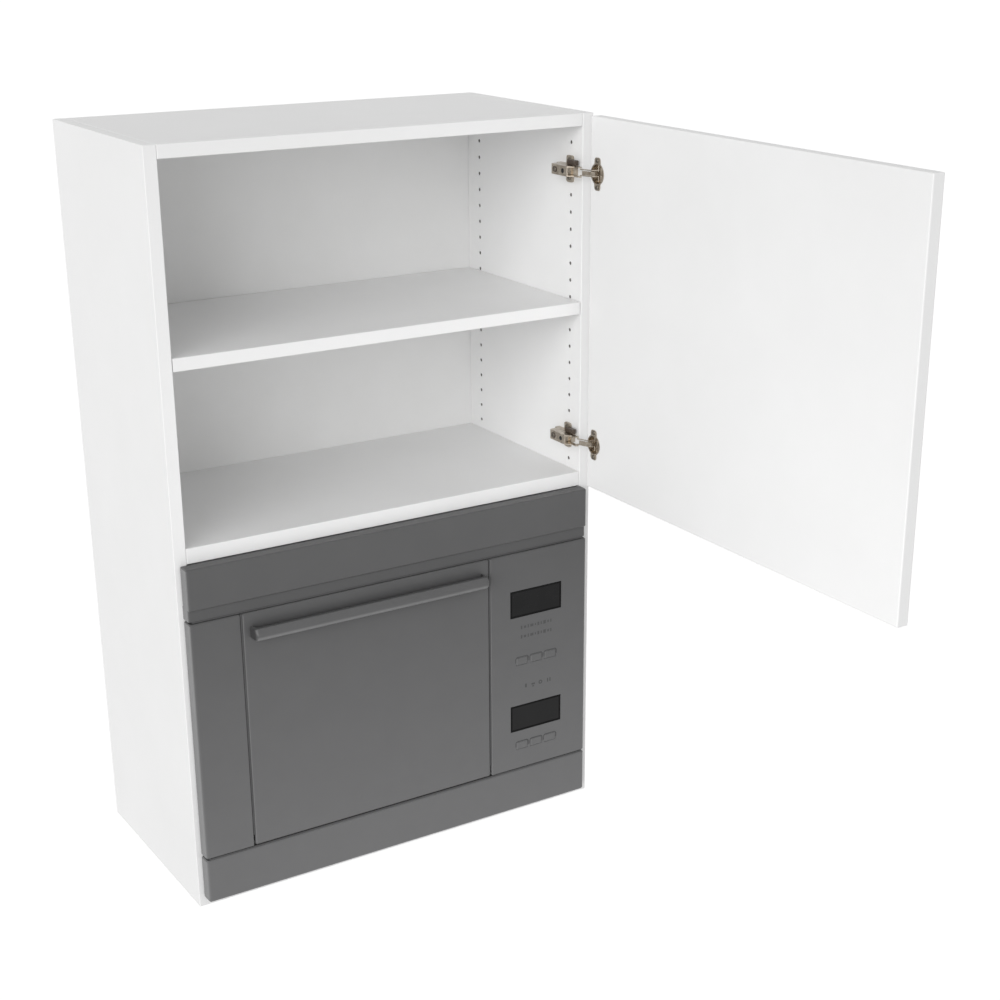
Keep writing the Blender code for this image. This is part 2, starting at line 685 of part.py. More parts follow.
def strap_outline(points, thickness):
    """A bent strap of one thickness along three points, from the side."""
    start, bend, tip = (Vector(point) for point in points)
    first, second = (bend - start).normalized(), (tip - bend).normalized()
    half = thickness / 2
    across = [first.orthogonal(), (first.orthogonal() + second.orthogonal()), second.orthogonal()]
    across[1] /= across[1].dot(across[0])
    left = [point + side * half for point, side in zip((start, bend, tip), across)]
    right = [point - side * half for point, side in zip((start, bend, tip), across)]
    return [*left, *reversed(right)]


def make_links(prefix, height, surface, door_place):
    """The outer link is a fork, and the inner link is a strap that passes between its prongs."""
    inside = CUP_RADIUS - CUP_WALL - LINK_PIN_CLEARANCE
    shapes = (
        ("outer_link", OUTER_PIN_FROM_EDGE, OUTER_PIN_DEPTH, (OUTER_BEND_OUT, OUTER_BEND_UP),
         (OUTER_TIP_OUT, OUTER_TIP_UP), (OUTER_LINK_GAP / 2, OUTER_LINK_WIDTH / 2)),
        ("inner_link", INNER_PIN_FROM_EDGE, INNER_PIN_DEPTH, (INNER_BEND_OUT, INNER_BEND_UP),
         (INNER_TIP_OUT, INNER_TIP_UP), (None, INNER_LINK_WIDTH / 2)),
    )
    for part, from_edge, depth, bend, tip, (gap_half, half) in shapes:
        pin = Vector((DOOR_HINGE_EDGE - from_edge, DOOR_INNER - depth))
        name = f"{prefix}_{part}"
        place = Place(f"{name}_axis", (*pin, height), door_place)
        offset = abs(pin.x - CUP_X) + LINK_PIN_RADIUS
        reach = math.sqrt(inside**2 - offset**2)
        profile = rod_profile(LINK_PIN_RADIUS, -reach, reach)
        made = add(name, turned(profile, "Z", (*pin, height), LINK_PIN_SIDES), surface, place)
        smooth(made)
        points = (pin, pin + Vector(bend), pin + Vector(tip))
        outline = strap_outline(points, LINK_THICKNESS)
        straps = bmesh.new()
        if gap_half is None:
            put_prism(straps, outline, "Z", height - half, height + half)
        else:
            put_prism(straps, outline, "Z", height - half, height - gap_half)
            put_prism(straps, outline, "Z", height + gap_half, height + half)
        fuse(made, straps, place)


def make_facia(surface, place):
    """The bands above and below, and the filler left of the oven door."""
    band_top = FACIA_BOTTOM + BOTTOM_BAND_HEIGHT
    ends = (FACIA_LEFT, FACIA_RIGHT, FACIA_LEFT_RADIUS, FACIA_RIGHT_RADIUS)
    full = front_outline(*ends, FACIA_FRONT, FACIA_REAR)
    bottom = add("mw_bottom_band", prism(full, "Z", FACIA_BOTTOM, band_top), surface, place)
    round_edges(bottom, FACIA_EDGE)
    top = add("mw_top_band", prism(full, "Z", TOP_BAND_BOTTOM, FACIA_TOP), surface, place)
    round_edges(top, FACIA_EDGE)
    lip = front_outline(*ends, FACIA_FRONT + LIP_SETBACK, FACIA_REAR)
    fuse(top, prism(lip, "Z", LIP_BOTTOM, TOP_BAND_BOTTOM + FACIA_EDGE * 2), place)
    right = FACIA_LEFT + LEFT_FILLER_WIDTH
    filler = front_outline(FACIA_LEFT, right, FACIA_LEFT_RADIUS, FACIA_EDGE, FACIA_FRONT, FACIA_REAR)
    made = add("mw_left_filler", prism(filler, "Z", MAIN_ROW_BOTTOM, MAIN_ROW_TOP), surface, place)
    round_edges(made, FACIA_EDGE)


def key_centres():
    rows = (("upper", UPPER_KEYS_HEIGHT_SHARE), ("lower", LOWER_KEYS_HEIGHT_SHARE))
    for row, share in rows:
        height = MAIN_ROW_BOTTOM + share * MAIN_ROW_HEIGHT
        for column in range(KEY_COLUMNS):
            shift = (column - (KEY_COLUMNS - 1) / 2) * KEY_PITCH
            yield f"mw_key_{row}_{column + 1}", KEYS_CENTRE_X + shift, height


def make_controls(surface, key_surface, glass, place):
    outline = front_outline(
        CONTROLS_LEFT, FACIA_RIGHT, FACIA_EDGE, FACIA_RIGHT_RADIUS, FACIA_FRONT, FACIA_REAR
    )
    panel = add("mw_control_panel", prism(outline, "Z", MAIN_ROW_BOTTOM, MAIN_ROW_TOP), surface, place)
    round_edges(panel, FACIA_EDGE)
    wells = bmesh.new()
    for name, share in (("upper", UPPER_DISPLAY_HEIGHT_SHARE), ("lower", LOWER_DISPLAY_HEIGHT_SHARE)):
        bottom = MAIN_ROW_BOTTOM + share * MAIN_ROW_HEIGHT
        front = FACIA_FRONT + DISPLAY_SETBACK
        low = (DISPLAY_RIGHT - DISPLAY_WIDTH, front, bottom)
        high = (DISPLAY_RIGHT, front + DISPLAY_THICKNESS, bottom + DISPLAY_HEIGHT)
        add(f"mw_display_{name}", box(low, high), glass, place)
        rim = Vector((GAP, GAP, GAP))
        well_low = Vector(low) - rim
        well_low.y = FACIA_FRONT - OVERRUN
        put_box(wells, well_low, Vector(high) + rim)
    for name, x, z in key_centres():
        axis = Place(f"{name}_axis", (x, FACIA_FRONT, z), place)
        front = FACIA_FRONT - KEY_PROUD
        low = (x - KEY_WIDTH / 2, front, z - KEY_HEIGHT / 2)
        high = (x + KEY_WIDTH / 2, front + KEY_LENGTH, z + KEY_HEIGHT / 2)
        key = add(name, box(low, high), key_surface, axis)
        round_edges(key, KEY_EDGE)
        rim = Vector((KEY_CLEARANCE, 0, KEY_CLEARANCE))
        well_low = Vector(low) - rim
        well_low.y = FACIA_FRONT - OVERRUN
        well_high = Vector(high) + rim
        well_high.y = FACIA_FRONT + KEY_WELL_DEPTH
        put_box(wells, well_low, well_high)
    cut(panel, wells, place)


def make_oven_door(surface, inner_surface, bar_surface, place):
    """The drop-down door: an outer panel that turns about a pin at its lower edge, and a choke behind."""
    corner = (FACIA_FRONT + OVEN_AXIS_INSET, MAIN_ROW_BOTTOM + OVEN_AXIS_INSET)
    skin_rear = FACIA_FRONT + OVEN_DOOR_SKIN
    outline = [
        *arc(corner, OVEN_AXIS_INSET, math.pi, math.pi * 1.5, OVEN_CORNER_STEPS),
        (skin_rear, MAIN_ROW_BOTTOM),
        (skin_rear, MAIN_ROW_TOP),
        (FACIA_FRONT, MAIN_ROW_TOP),
    ]
    panel = add("mw_door_panel", prism(outline, "X", OVEN_DOOR_LEFT, OVEN_DOOR_RIGHT), surface, place)
    round_edges(panel, FACIA_EDGE)
    bores = bmesh.new()
    for side, inward in ((OVEN_DOOR_LEFT, 1.0), (OVEN_DOOR_RIGHT, -1.0)):
        profile = rod_profile(PIVOT_PIN_RADIUS + GAP, -inward * OVERRUN, inward * PIVOT_PIN_REACH)
        put_turned(bores, profile, "X", (side, OVEN_AXIS_Y, OVEN_AXIS_Z), PIVOT_PIN_SIDES)
    cut(panel, bores, place)
    rear = -INNER_DOOR_CLEARANCE
    margin = Vector((INNER_DOOR_MARGIN, 0, INNER_DOOR_MARGIN))
    low = Vector((OVEN_DOOR_LEFT, skin_rear + GAP, MAIN_ROW_BOTTOM)) + margin
    high = Vector((OVEN_DOOR_RIGHT, rear, MAIN_ROW_TOP)) - margin
    inner = add("mw_door_inner", box(low, high), inner_surface, place)
    choke = bmesh.new()
    inset = Vector((CHOKE_INSET, 0, CHOKE_INSET))
    outer_low, outer_high = low + inset, high - inset
    outer_low.y, outer_high.y = rear - CHOKE_DEPTH, rear + OVERRUN
    width = Vector((CHOKE_WIDTH, 0, CHOKE_WIDTH))
    put_box(choke, outer_low, outer_high)
    cut(inner, choke, place)
    island_low, island_high = outer_low + width, outer_high - width
    island_low.y, island_high.y = rear - CHOKE_DEPTH - GAP, rear
    fuse(inner, box(island_low, island_high), place)
    for _, x in hook_places():
        top = MAIN_ROW_TOP - HOOK_FROM_TOP
        hook = [
            (rear - CHOKE_DEPTH / 2, top - HOOK_HEIGHT),
            (HOOK_REACH, top - HOOK_HEIGHT),
            (HOOK_REACH, top - HOOK_HEIGHT / 2 + HOOK_BARB),
            (HOOK_REACH - HOOK_BARB_LENGTH, top - HOOK_HEIGHT / 2 + HOOK_BARB),
            (HOOK_REACH - HOOK_BARB_LENGTH, top - HOOK_HEIGHT / 2),
            (rear - CHOKE_DEPTH / 2, top - HOOK_HEIGHT / 2),
        ]
        fuse(inner, prism(hook, "X", x - HOOK_WIDTH / 2, x + HOOK_WIDTH / 2), place)
    make_handle(bar_surface, place)


def hook_places():
    return (
        ("left", OVEN_DOOR_LEFT + HOOK_FROM_SIDE),
        ("right", OVEN_DOOR_RIGHT - HOOK_FROM_SIDE),
    )


def make_handle(surface, place):
    """A grip that leans out from the door, with a round nose below and a scoop for the fingers above."""
    left, right = OVEN_DOOR_LEFT + HANDLE_FROM_SIDE, OVEN_DOOR_RIGHT - HANDLE_FROM_SIDE
    top = MAIN_ROW_TOP - HANDLE_TOP_DROP
    bottom = top - HANDLE_HEIGHT
    front = FACIA_FRONT - HANDLE_DEPTH
    nose = (front + HANDLE_NOSE_RADIUS, bottom + HANDLE_NOSE_RADIUS)
    outline = [
        (FACIA_FRONT - GAP, top),
        (front + HANDLE_SLOPE_DEPTH, top),
        *arc(nose, HANDLE_NOSE_RADIUS, math.pi, math.pi * 1.5, OVEN_CORNER_STEPS),
        (FACIA_FRONT - GAP, bottom),
    ]
    made = add("mw_door_handle", prism(outline, "X", left, right), surface, place)
    round_edges(made, HANDLE_EDGE)
    low = (left + SCOOP_END_WALL, FACIA_FRONT - SCOOP_DEPTH)
    high = (right - SCOOP_END_WALL, FACIA_FRONT + SCOOP_RADIUS * 2)
    scoop = rounded_rectangle(low, high, SCOOP_RADIUS, OVEN_CORNER_STEPS)
    cut(made, prism(scoop, "Z", bottom + SCOOP_FLOOR, top + OVERRUN), place)


def make_pivots(surface, place):
    """Each pivot is a thin plate in the gap beside the door, with the pin that the door turns on."""
    spare = (PANEL_GAP - PIVOT_PLATE_THICKNESS) / 2
    for name, edge, inward in (("left", OVEN_DOOR_LEFT, 1.0), ("right", OVEN_DOOR_RIGHT, -1.0)):
        near, far = edge - inward * spare, edge - inward * (spare + PIVOT_PLATE_THICKNESS)
        nose = arc((OVEN_AXIS_Y, OVEN_AXIS_Z), PIVOT_PLATE_NOSE, math.pi / 2, math.pi * 1.5, OVEN_CORNER_STEPS)
        outline = [
            *nose,
            (FACIA_REAR, OVEN_AXIS_Z - PIVOT_PLATE_NOSE),
            (FACIA_REAR, OVEN_AXIS_Z - PIVOT_PLATE_NOSE + PIVOT_PLATE_HEIGHT),
        ]
        made = add(f"mw_pivot_{name}", prism(outline, "X", min(near, far), max(near, far)), surface, place)
        profile = rod_profile(PIVOT_PIN_RADIUS, -inward * spare * 2, inward * (PIVOT_PIN_REACH - GAP))
        pin = turned(profile, "X", (edge, OVEN_AXIS_Y, OVEN_AXIS_Z), PIVOT_PIN_SIDES)
        fuse(made, pin, place)


def make_case(surface, place):
    inner_left, inner_right = CASE_LEFT + CASE_SHEET, CASE_RIGHT - CASE_SHEET
    shell = box((CASE_LEFT, 0, CASE_BOTTOM), (CASE_RIGHT, CASE_REAR, CASE_TOP))
    wrap = add("mw_case_wrap", shell, surface, place)
    low = (inner_left, -OVERRUN, CASE_BOTTOM - OVERRUN)
    high = (inner_right, CASE_REAR + OVERRUN, CASE_TOP - CASE_SHEET)
    cut(wrap, box(low, high), place)
    base_top = CASE_BOTTOM + CASE_SHEET
    low, high = (inner_left + GAP, 0, CASE_BOTTOM), (inner_right - GAP, CASE_REAR, base_top)
    base = add("mw_base_plate", box(low, high), surface, place)
    feet = bmesh.new()
    for x in (inner_left + FOOT_INSET, inner_right - FOOT_INSET - FOOT_SIZE):
        for y in (FOOT_INSET, CASE_REAR - FOOT_INSET - FOOT_SIZE):
            put_box(feet, (x, y, BOARD + GAP), (x + FOOT_SIZE, y + FOOT_SIZE, base_top - CASE_SHEET / 2))
    fuse(base, feet, place)
    side_low = (inner_left + GAP, CASE_REAR - CASE_SHEET, base_top + GAP)
    side_high = (inner_right - GAP, CASE_REAR, CASE_TOP - CASE_SHEET - GAP)
    rear = add("mw_rear_panel", box(side_low, side_high), surface, place)
    vents = bmesh.new()
    for middle in (CASE_LEFT + VENT_FROM_LEFT + VENT_WIDTH / 2, BAY_X):
        for row in range(VENT_ROWS):
            bottom = CASE_TOP - VENT_TOP_DROP - row * VENT_PITCH
            low = (middle - VENT_WIDTH / 2, CASE_REAR - CASE_SHEET - OVERRUN, bottom)
            put_box(vents, low, (middle + VENT_WIDTH / 2, CASE_REAR + OVERRUN, bottom + VENT_HEIGHT))
    cut(rear, vents, place)
    make_chassis(surface, place)


def make_chassis(surface, place):
    """The plate behind the front, with the oven's mouth and two slots for the latch hooks."""
    low = (CASE_LEFT + CASE_SHEET + GAP, 0, CASE_BOTTOM + CASE_SHEET + GAP)
    high = (CASE_RIGHT - CASE_SHEET - GAP, CHASSIS_REAR, CASE_TOP - CASE_SHEET - GAP)
    chassis = add("mw_front_chassis", box(low, high), surface, place)
    mouths = bmesh.new()
    low_corner, high_corner = (CAVITY_LEFT, CAVITY_FLOOR), (CAVITY_RIGHT, CAVITY_CEILING)
    outline = rounded_rectangle(low_corner, high_corner, CAVITY_CORNER, FACIA_ARC_STEPS)
    put_prism(mouths, outline, "Y", -OVERRUN, CHASSIS_REAR + OVERRUN)
    for _, x in hook_places():
        top = MAIN_ROW_TOP - HOOK_FROM_TOP
        spare = HOOK_SLOT_CLEARANCE
        slot_low = (x - HOOK_WIDTH / 2 - spare / 2, -OVERRUN, top - HOOK_HEIGHT - spare / 2)
        slot_high = (x + HOOK_WIDTH / 2 + spare / 2, CHASSIS_REAR + OVERRUN, top + spare)
        put_box(mouths, slot_low, slot_high)
    cut(chassis, mouths, place)


def make_cavity(surface, place):
    """An open steel box with a flange round its mouth and a hole in its floor for the turntable's shaft."""
    sheet = CAVITY_SHEET
    low_corner = (CAVITY_LEFT - sheet, CAVITY_FLOOR - sheet)
    high_corner = (CAVITY_RIGHT + sheet, CAVITY_CEILING + sheet)
    outline = rounded_rectangle(low_corner, high_corner, CAVITY_CORNER + sheet, FACIA_ARC_STEPS)
    cavity = add("mw_cavity", prism(outline, "Y", CAVITY_FRONT, CAVITY_REAR + sheet), surface, place)
    flange_low = (low_corner[0] - CAVITY_FLANGE, CAVITY_FRONT, low_corner[1] - CAVITY_FLANGE)
    flange_high = (high_corner[0] + CAVITY_FLANGE, CAVITY_FRONT + sheet, high_corner[1] + sheet)
    fuse(cavity, box(flange_low, flange_high), place)
    inside = bmesh.new()
    low_corner, high_corner = (CAVITY_LEFT, CAVITY_FLOOR), (CAVITY_RIGHT, CAVITY_CEILING)
    outline = rounded_rectangle(low_corner, high_corner, CAVITY_CORNER, FACIA_ARC_STEPS)
    put_prism(inside, outline, "Y", CAVITY_FRONT - OVERRUN, CAVITY_REAR)
    cut(cavity, inside, place)
    hole = rod_profile(SHAFT_HOLE_RADIUS, -OVERRUN - sheet, OVERRUN)
    cut(cavity, turned(hole, "Z", (CAVITY_X, TURNTABLE_Y, CAVITY_FLOOR), SHAFT_SIDES), place)


def make_turntable(glass, plastic, metal, root):
    centre = (CAVITY_X, TURNTABLE_Y, 0.0)
    place = Place("mw_turntable_axis", centre, root)
    seat = TURNTABLE_SEAT
    rim_top = seat + PLATE_RIM_HEIGHT
    profile = [
        (0.0, seat),
        (PLATE_FLAT_RADIUS, seat),
        (PLATE_RADIUS, rim_top - PLATE_RIM_WIDTH),
        (PLATE_RADIUS, rim_top),
        (PLATE_RADIUS - PLATE_RIM_WIDTH, rim_top),
        (PLATE_FLAT_RADIUS - PLATE_RIM_WIDTH, seat + PLATE_SHEET),
        (0.0, seat + PLATE_SHEET),
    ]
    plate = add("mw_turntable", turned(profile, "Z", centre, PLATE_SIDES), glass, place)
    smooth(plate)
    coupler_bottom = seat - GAP - COUPLER_HEIGHT
    shaft_bottom = CAVITY_FLOOR - CAVITY_SHEET - SHAFT_REACH
    hub = [
        (0.0, shaft_bottom),
        (SHAFT_RADIUS, shaft_bottom),
        (SHAFT_RADIUS, coupler_bottom),
        (COUPLER_HUB_RADIUS, coupler_bottom),
        (COUPLER_HUB_RADIUS, seat - GAP),
        (0.0, seat - GAP),
    ]
    coupler = add("mw_turntable_coupler", turned(hub, "Z", centre, COUPLER_SIDES), plastic, place)
    smooth(coupler)
    for arm in range(ROLLER_COUNT):
        lobe = bmesh.new()
        half = COUPLER_LOBE_WIDTH / 2
        low = (0.0, -half, coupler_bottom)
        put_box(lobe, low, (COUPLER_LOBE_LENGTH, half, seat - GAP - COUPLER_HEIGHT / 4))
        turn = Matrix.Translation(centre) @ Matrix.Rotation(math.tau * arm / ROLLER_COUNT, 4, "Z")
        bmesh.ops.transform(lobe, matrix=turn, verts=lobe.verts)
        fuse(coupler, lobe, place)
    make_roller_ring(plastic, centre, root)
    top = CAVITY_FLOOR - CAVITY_SHEET - GAP
    drum = rod_profile(MOTOR_RADIUS, top - MOTOR_HEIGHT, top)
    motor = add("mw_turntable_motor", turned(drum, "Z", centre, MOTOR_SIDES), metal, root)
    smooth(motor)
    socket = rod_profile(MOTOR_SOCKET_RADIUS, shaft_bottom - GAP, top + OVERRUN)
    cut(motor, turned(socket, "Z", centre, SHAFT_SIDES), root)


def make_roller_ring(plastic, centre, root):
    """A ring under the plate, with a roller at every third of its round."""
    place = Place("mw_roller_ring_axis", centre, root)
    half_width, half_height = ROLLER_RING_WIDTH / 2, ROLLER_RING_HEIGHT / 2
    section = [
        (ROLLER_RING_RADIUS - half_width, ROLLER_AXLE - half_height),
        (ROLLER_RING_RADIUS + half_width, ROLLER_AXLE - half_height),
        (ROLLER_RING_RADIUS + half_width, ROLLER_AXLE + half_height),
        (ROLLER_RING_RADIUS - half_width, ROLLER_AXLE + half_height),
        (ROLLER_RING_RADIUS - half_width, ROLLER_AXLE - half_height),
    ]
    ring = add("mw_roller_ring", turned(section, "Z", centre, RING_SIDES), plastic, place)
    smooth(ring)
    for index in range(ROLLER_COUNT):
        roller = bmesh.new()
        start = ROLLER_RING_RADIUS - ROLLER_WIDTH / 2
        profile = rod_profile(ROLLER_RADIUS, start, start + ROLLER_WIDTH)
        put_turned(roller, profile, "X", (0.0, 0.0, ROLLER_AXLE), ROLLER_SIDES)
        turn = Matrix.Translation(centre) @ Matrix.Rotation(math.tau * index / ROLLER_COUNT, 4, "Z")
        bmesh.ops.transform(roller, matrix=turn, verts=roller.verts)
        fuse(ring, roller, place)


def around_port(start, end, margin):
    """A block from start to end along X, as large as the wave guide's bore with a margin around it."""
    half_length, half_height = PORT_LENGTH / 2 + margin, PORT_HEIGHT / 2 + margin
    low = (start, PORT_Y - half_length, PORT_Z - half_height)
    return box(low, (end, PORT_Y + half_length, PORT_Z + half_height))


def make_magnetron(surface, cover_surface, place):
    """A finned block with its terminals, on a hollow wave guide that ends at the cavity's wall."""
    inner = CAVITY_RIGHT - GAP
    cover = around_port(inner - PORT_COVER_THICKNESS, inner, PORT_COVER_MARGIN)
    add("mw_port_cover", cover, cover_surface, place)
    wall = CAVITY_RIGHT + CAVITY_SHEET + GAP
    guide_end = wall + GUIDE_DEPTH
    made = add("mw_magnetron", around_port(wall, guide_end, GUIDE_MARGIN), surface, place)
    cut(made, around_port(wall - OVERRUN, guide_end - GUIDE_SHEET, 0.0), place)
    half_length, half_height = MAGNETRON_LENGTH / 2, MAGNETRON_HEIGHT / 2
    block_end = guide_end + MAGNETRON_REACH
    low = (guide_end - GUIDE_SHEET / 2, PORT_Y - half_length, PORT_Z - half_height)
    fuse(made, box(low, (block_end, PORT_Y + half_length, PORT_Z + half_height)), place)
    slots = bmesh.new()
    pitch = MAGNETRON_REACH / (FIN_SLOTS + 1)
    for index in range(FIN_SLOTS):
        middle = guide_end + (index + 1) * pitch
        for side in (-1.0, 1.0):
            ends = (PORT_Z + side * (half_height - FIN_SLOT_DEPTH), PORT_Z + side * (half_height + OVERRUN))
            low = (middle - FIN_SLOT_WIDTH / 2, PORT_Y - half_length - OVERRUN, min(ends))
            high = (middle + FIN_SLOT_WIDTH / 2, PORT_Y + half_length + OVERRUN, max(ends))
            put_box(slots, low, high)
    cut(made, slots, place)
    half = TERMINAL_SIZE / 2
    low = (block_end - GUIDE_SHEET, PORT_Y - half, PORT_Z - half)
    fuse(made, box(low, (block_end + TERMINAL_REACH, PORT_Y + half, PORT_Z + half)), place)


def make_transformer(surface, place):
    """A laminated core on a flat flange, with the winding standing out at both ends."""
    front = TRANSFORMER_FROM_FRONT
    rear = front + TRANSFORMER_LENGTH
    half = TRANSFORMER_WIDTH / 2
    core = box((BAY_X - half, front, BAY_FLOOR), (BAY_X + half, rear, BAY_FLOOR + TRANSFORMER_HEIGHT))
    made = add("mw_transformer", core, surface, place)
    half = FLANGE_WIDTH / 2
    flange = box((BAY_X - half, front, BAY_FLOOR), (BAY_X + half, rear, BAY_FLOOR + FLANGE_THICKNESS))
    fuse(made, flange, place)
    middle = BAY_FLOOR + TRANSFORMER_HEIGHT / 2
    low = (BAY_X - WINDING_WIDTH / 2, middle - WINDING_HEIGHT / 2)
    high = (BAY_X + WINDING_WIDTH / 2, middle + WINDING_HEIGHT / 2)
    winding = rounded_rectangle(low, high, WINDING_RADIUS, FACIA_ARC_STEPS)
    fuse(made, prism(winding, "Y", front - WINDING_PROUD, rear + WINDING_PROUD), place)


def make_fan(surface, root):
    """A square frame on the rear panel, with a bearing on three arms, and a rotor that turns in it."""
    centre = Vector((BAY_X, 0.0, FAN_Z))
    half = FAN_FRAME_SIZE / 2
    low = (BAY_X - half, FAN_FRONT, FAN_Z - half)
    frame = add("mw_fan_frame", box(low, (BAY_X + half, FAN_REAR, FAN_Z + half)), surface, root)
    bore = rod_profile(FAN_BORE_RADIUS, FAN_FRONT - OVERRUN, FAN_REAR + OVERRUN)
    cut(frame, turned(bore, "Y", centre, FAN_BORE_SIDES), root)
    spider_front = FAN_REAR - SPIDER_THICKNESS
    for index in range(SPIDER_ARMS):
        low = (0.0, spider_front + SPIDER_STEP, -SPIDER_WIDTH / 2)
        bar = box(low, (FAN_BORE_RADIUS + OVERRUN / 2, FAN_REAR - SPIDER_STEP, SPIDER_WIDTH / 2))
        turn = Matrix.Translation(centre) @ Matrix.Rotation(math.tau * index / SPIDER_ARMS, 4, "Y")
        bmesh.ops.transform(bar, matrix=turn, verts=bar.verts)
        fuse(frame, bar, root)
    boss = rod_profile(BOSS_RADIUS, spider_front, FAN_REAR - SPIDER_STEP / 2)
    fuse(frame, turned(boss, "Y", centre, BOSS_SIDES), root)
    seat = rod_profile(SPINDLE_RADIUS + SPINDLE_CLEARANCE, spider_front - OVERRUN, spider_front + SPINDLE_SEAT)
    cut(frame, turned(seat, "Y", centre, SPINDLE_SIDES), root)
    hub_rear = spider_front - ROTOR_REAR_GAP
    hub_front = hub_rear - ROTOR_HUB_LENGTH
    place = Place("mw_fan_axis", (BAY_X, (hub_front + hub_rear) / 2, FAN_Z), root)
    hub = [
        (0.0, hub_front),
        (ROTOR_HUB_RADIUS, hub_front),
        (ROTOR_HUB_RADIUS, hub_rear),
        (SPINDLE_RADIUS, hub_rear),
        (SPINDLE_RADIUS, spider_front + SPINDLE_SEAT - GAP),
        (0.0, spider_front + SPINDLE_SEAT - GAP),
    ]
    rotor = add("mw_fan_rotor", turned(hub, "Y", centre, FAN_BORE_SIDES), surface, place)
    smooth(rotor)
    for index in range(BLADE_COUNT):
        half_chord, half_sheet = BLADE_CHORD / 2, BLADE_THICKNESS / 2
        low = (ROTOR_HUB_RADIUS - OVERRUN, -half_sheet, -half_chord)
        blade = box(low, (BLADE_RADIUS, half_sheet, half_chord))
        turn = Matrix.Rotation(math.tau * index / BLADE_COUNT, 4, "Y") @ Matrix.Rotation(BLADE_PITCH, 4, "X")
        bmesh.ops.transform(blade, matrix=Matrix.Translation(place.point) @ turn, verts=blade.verts)
        fuse(rotor, blade, place)


def hinge_height(wanted):
    """The nearest place below that lies between two holes of the side board."""
    rows_down = math.floor((TOP_HOLE - wanted) / HOLE_PITCH) + HINGE_ROW_SHARE
    return TOP_HOLE - rows_down * HOLE_PITCH


def main():
    clear_scene()
    root = Place("cabinet_root", (0.0, 0.0, 0.0))
    root.empty.location = (-WIDTH / 2, -DEPTH, -RAIL_CENTRE)
    white = finish("white melamine", (0.80, 0.80, 0.79), 0.45)
    back_white = finish("white hardboard", (0.72, 0.72, 0.71), 0.6)
    nickel = finish("nickelled steel", (0.56, 0.53, 0.48), 0.3, metallic=1.0)
    grey = finish("grey facia", (0.125, 0.125, 0.128), 0.42)
    bar = finish("grey handle", (0.15, 0.15, 0.153), 0.35)
    key_grey = finish("grey keys", (0.16, 0.16, 0.165), 0.4)
    display = finish("dark display window", (0.02, 0.02, 0.022), 0.08)
    steel = finish("galvanised steel", (0.55, 0.56, 0.57), 0.4, metallic=1.0)
    enamel = finish("light enamel", (0.62, 0.62, 0.60), 0.35)
    dark = finish("dark plastic", (0.04, 0.04, 0.042), 0.5)
    clear_glass = finish("turntable glass", (0.75, 0.82, 0.80), 0.05)
    mica = finish("pressed mica", (0.45, 0.40, 0.33), 0.5)

    make_carcass(white, back_white, root)
    make_shelf(white, nickel, root)
    door_place = Place("cabinet_door_axis", (AXIS_X, AXIS_Y, 0.0), root, turn=DOOR_REST_TURN)
    hinges = {
        "upper_hinge": hinge_height(DOOR_TOP - HINGE_FROM_DOOR_END),
        "lower_hinge": hinge_height(DOOR_BOTTOM + HINGE_FROM_DOOR_END),
    }
    make_cabinet_door(white, door_place, hinges.values())
    for prefix, height in hinges.items():
        make_cup(f"{prefix}_cup", height, nickel, door_place)
        make_mounting_plate(f"{prefix}_mounting_plate", height, nickel, root)
        make_arm(f"{prefix}_arm", height, nickel, root)
        make_links(prefix, height, nickel, door_place)

    make_facia(grey, root)
    make_controls(grey, key_grey, display, root)
    oven_place = Place("mw_door_axis", (CAVITY_X, OVEN_AXIS_Y, OVEN_AXIS_Z), root)
    make_oven_door(grey, dark, bar, oven_place)
    make_pivots(steel, root)
    make_case(steel, root)
    make_cavity(enamel, root)
    make_turntable(clear_glass, dark, steel, root)
    make_magnetron(steel, mica, root)
    make_transformer(steel, root)
    make_fan(dark, root)


main()
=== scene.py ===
import json
import math

import bmesh
import bpy
from mathutils import Matrix, Vector


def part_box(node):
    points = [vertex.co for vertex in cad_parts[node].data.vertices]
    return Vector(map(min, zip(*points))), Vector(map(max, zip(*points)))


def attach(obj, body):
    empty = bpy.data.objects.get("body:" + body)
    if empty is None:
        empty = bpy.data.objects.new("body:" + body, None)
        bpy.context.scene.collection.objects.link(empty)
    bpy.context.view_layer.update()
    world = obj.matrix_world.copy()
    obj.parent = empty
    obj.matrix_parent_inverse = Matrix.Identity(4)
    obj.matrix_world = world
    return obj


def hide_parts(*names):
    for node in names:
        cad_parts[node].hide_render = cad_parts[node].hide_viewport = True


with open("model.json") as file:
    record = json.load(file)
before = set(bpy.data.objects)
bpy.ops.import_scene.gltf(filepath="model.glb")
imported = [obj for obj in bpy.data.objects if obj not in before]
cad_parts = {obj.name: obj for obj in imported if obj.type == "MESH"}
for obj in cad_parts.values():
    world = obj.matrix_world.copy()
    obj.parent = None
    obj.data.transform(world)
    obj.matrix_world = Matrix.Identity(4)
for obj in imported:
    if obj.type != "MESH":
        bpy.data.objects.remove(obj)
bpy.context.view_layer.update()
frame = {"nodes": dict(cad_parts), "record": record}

# The cabinet's left, front and underside, from which places along the boards are counted
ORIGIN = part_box("left_side_panel")[0]


# Materials

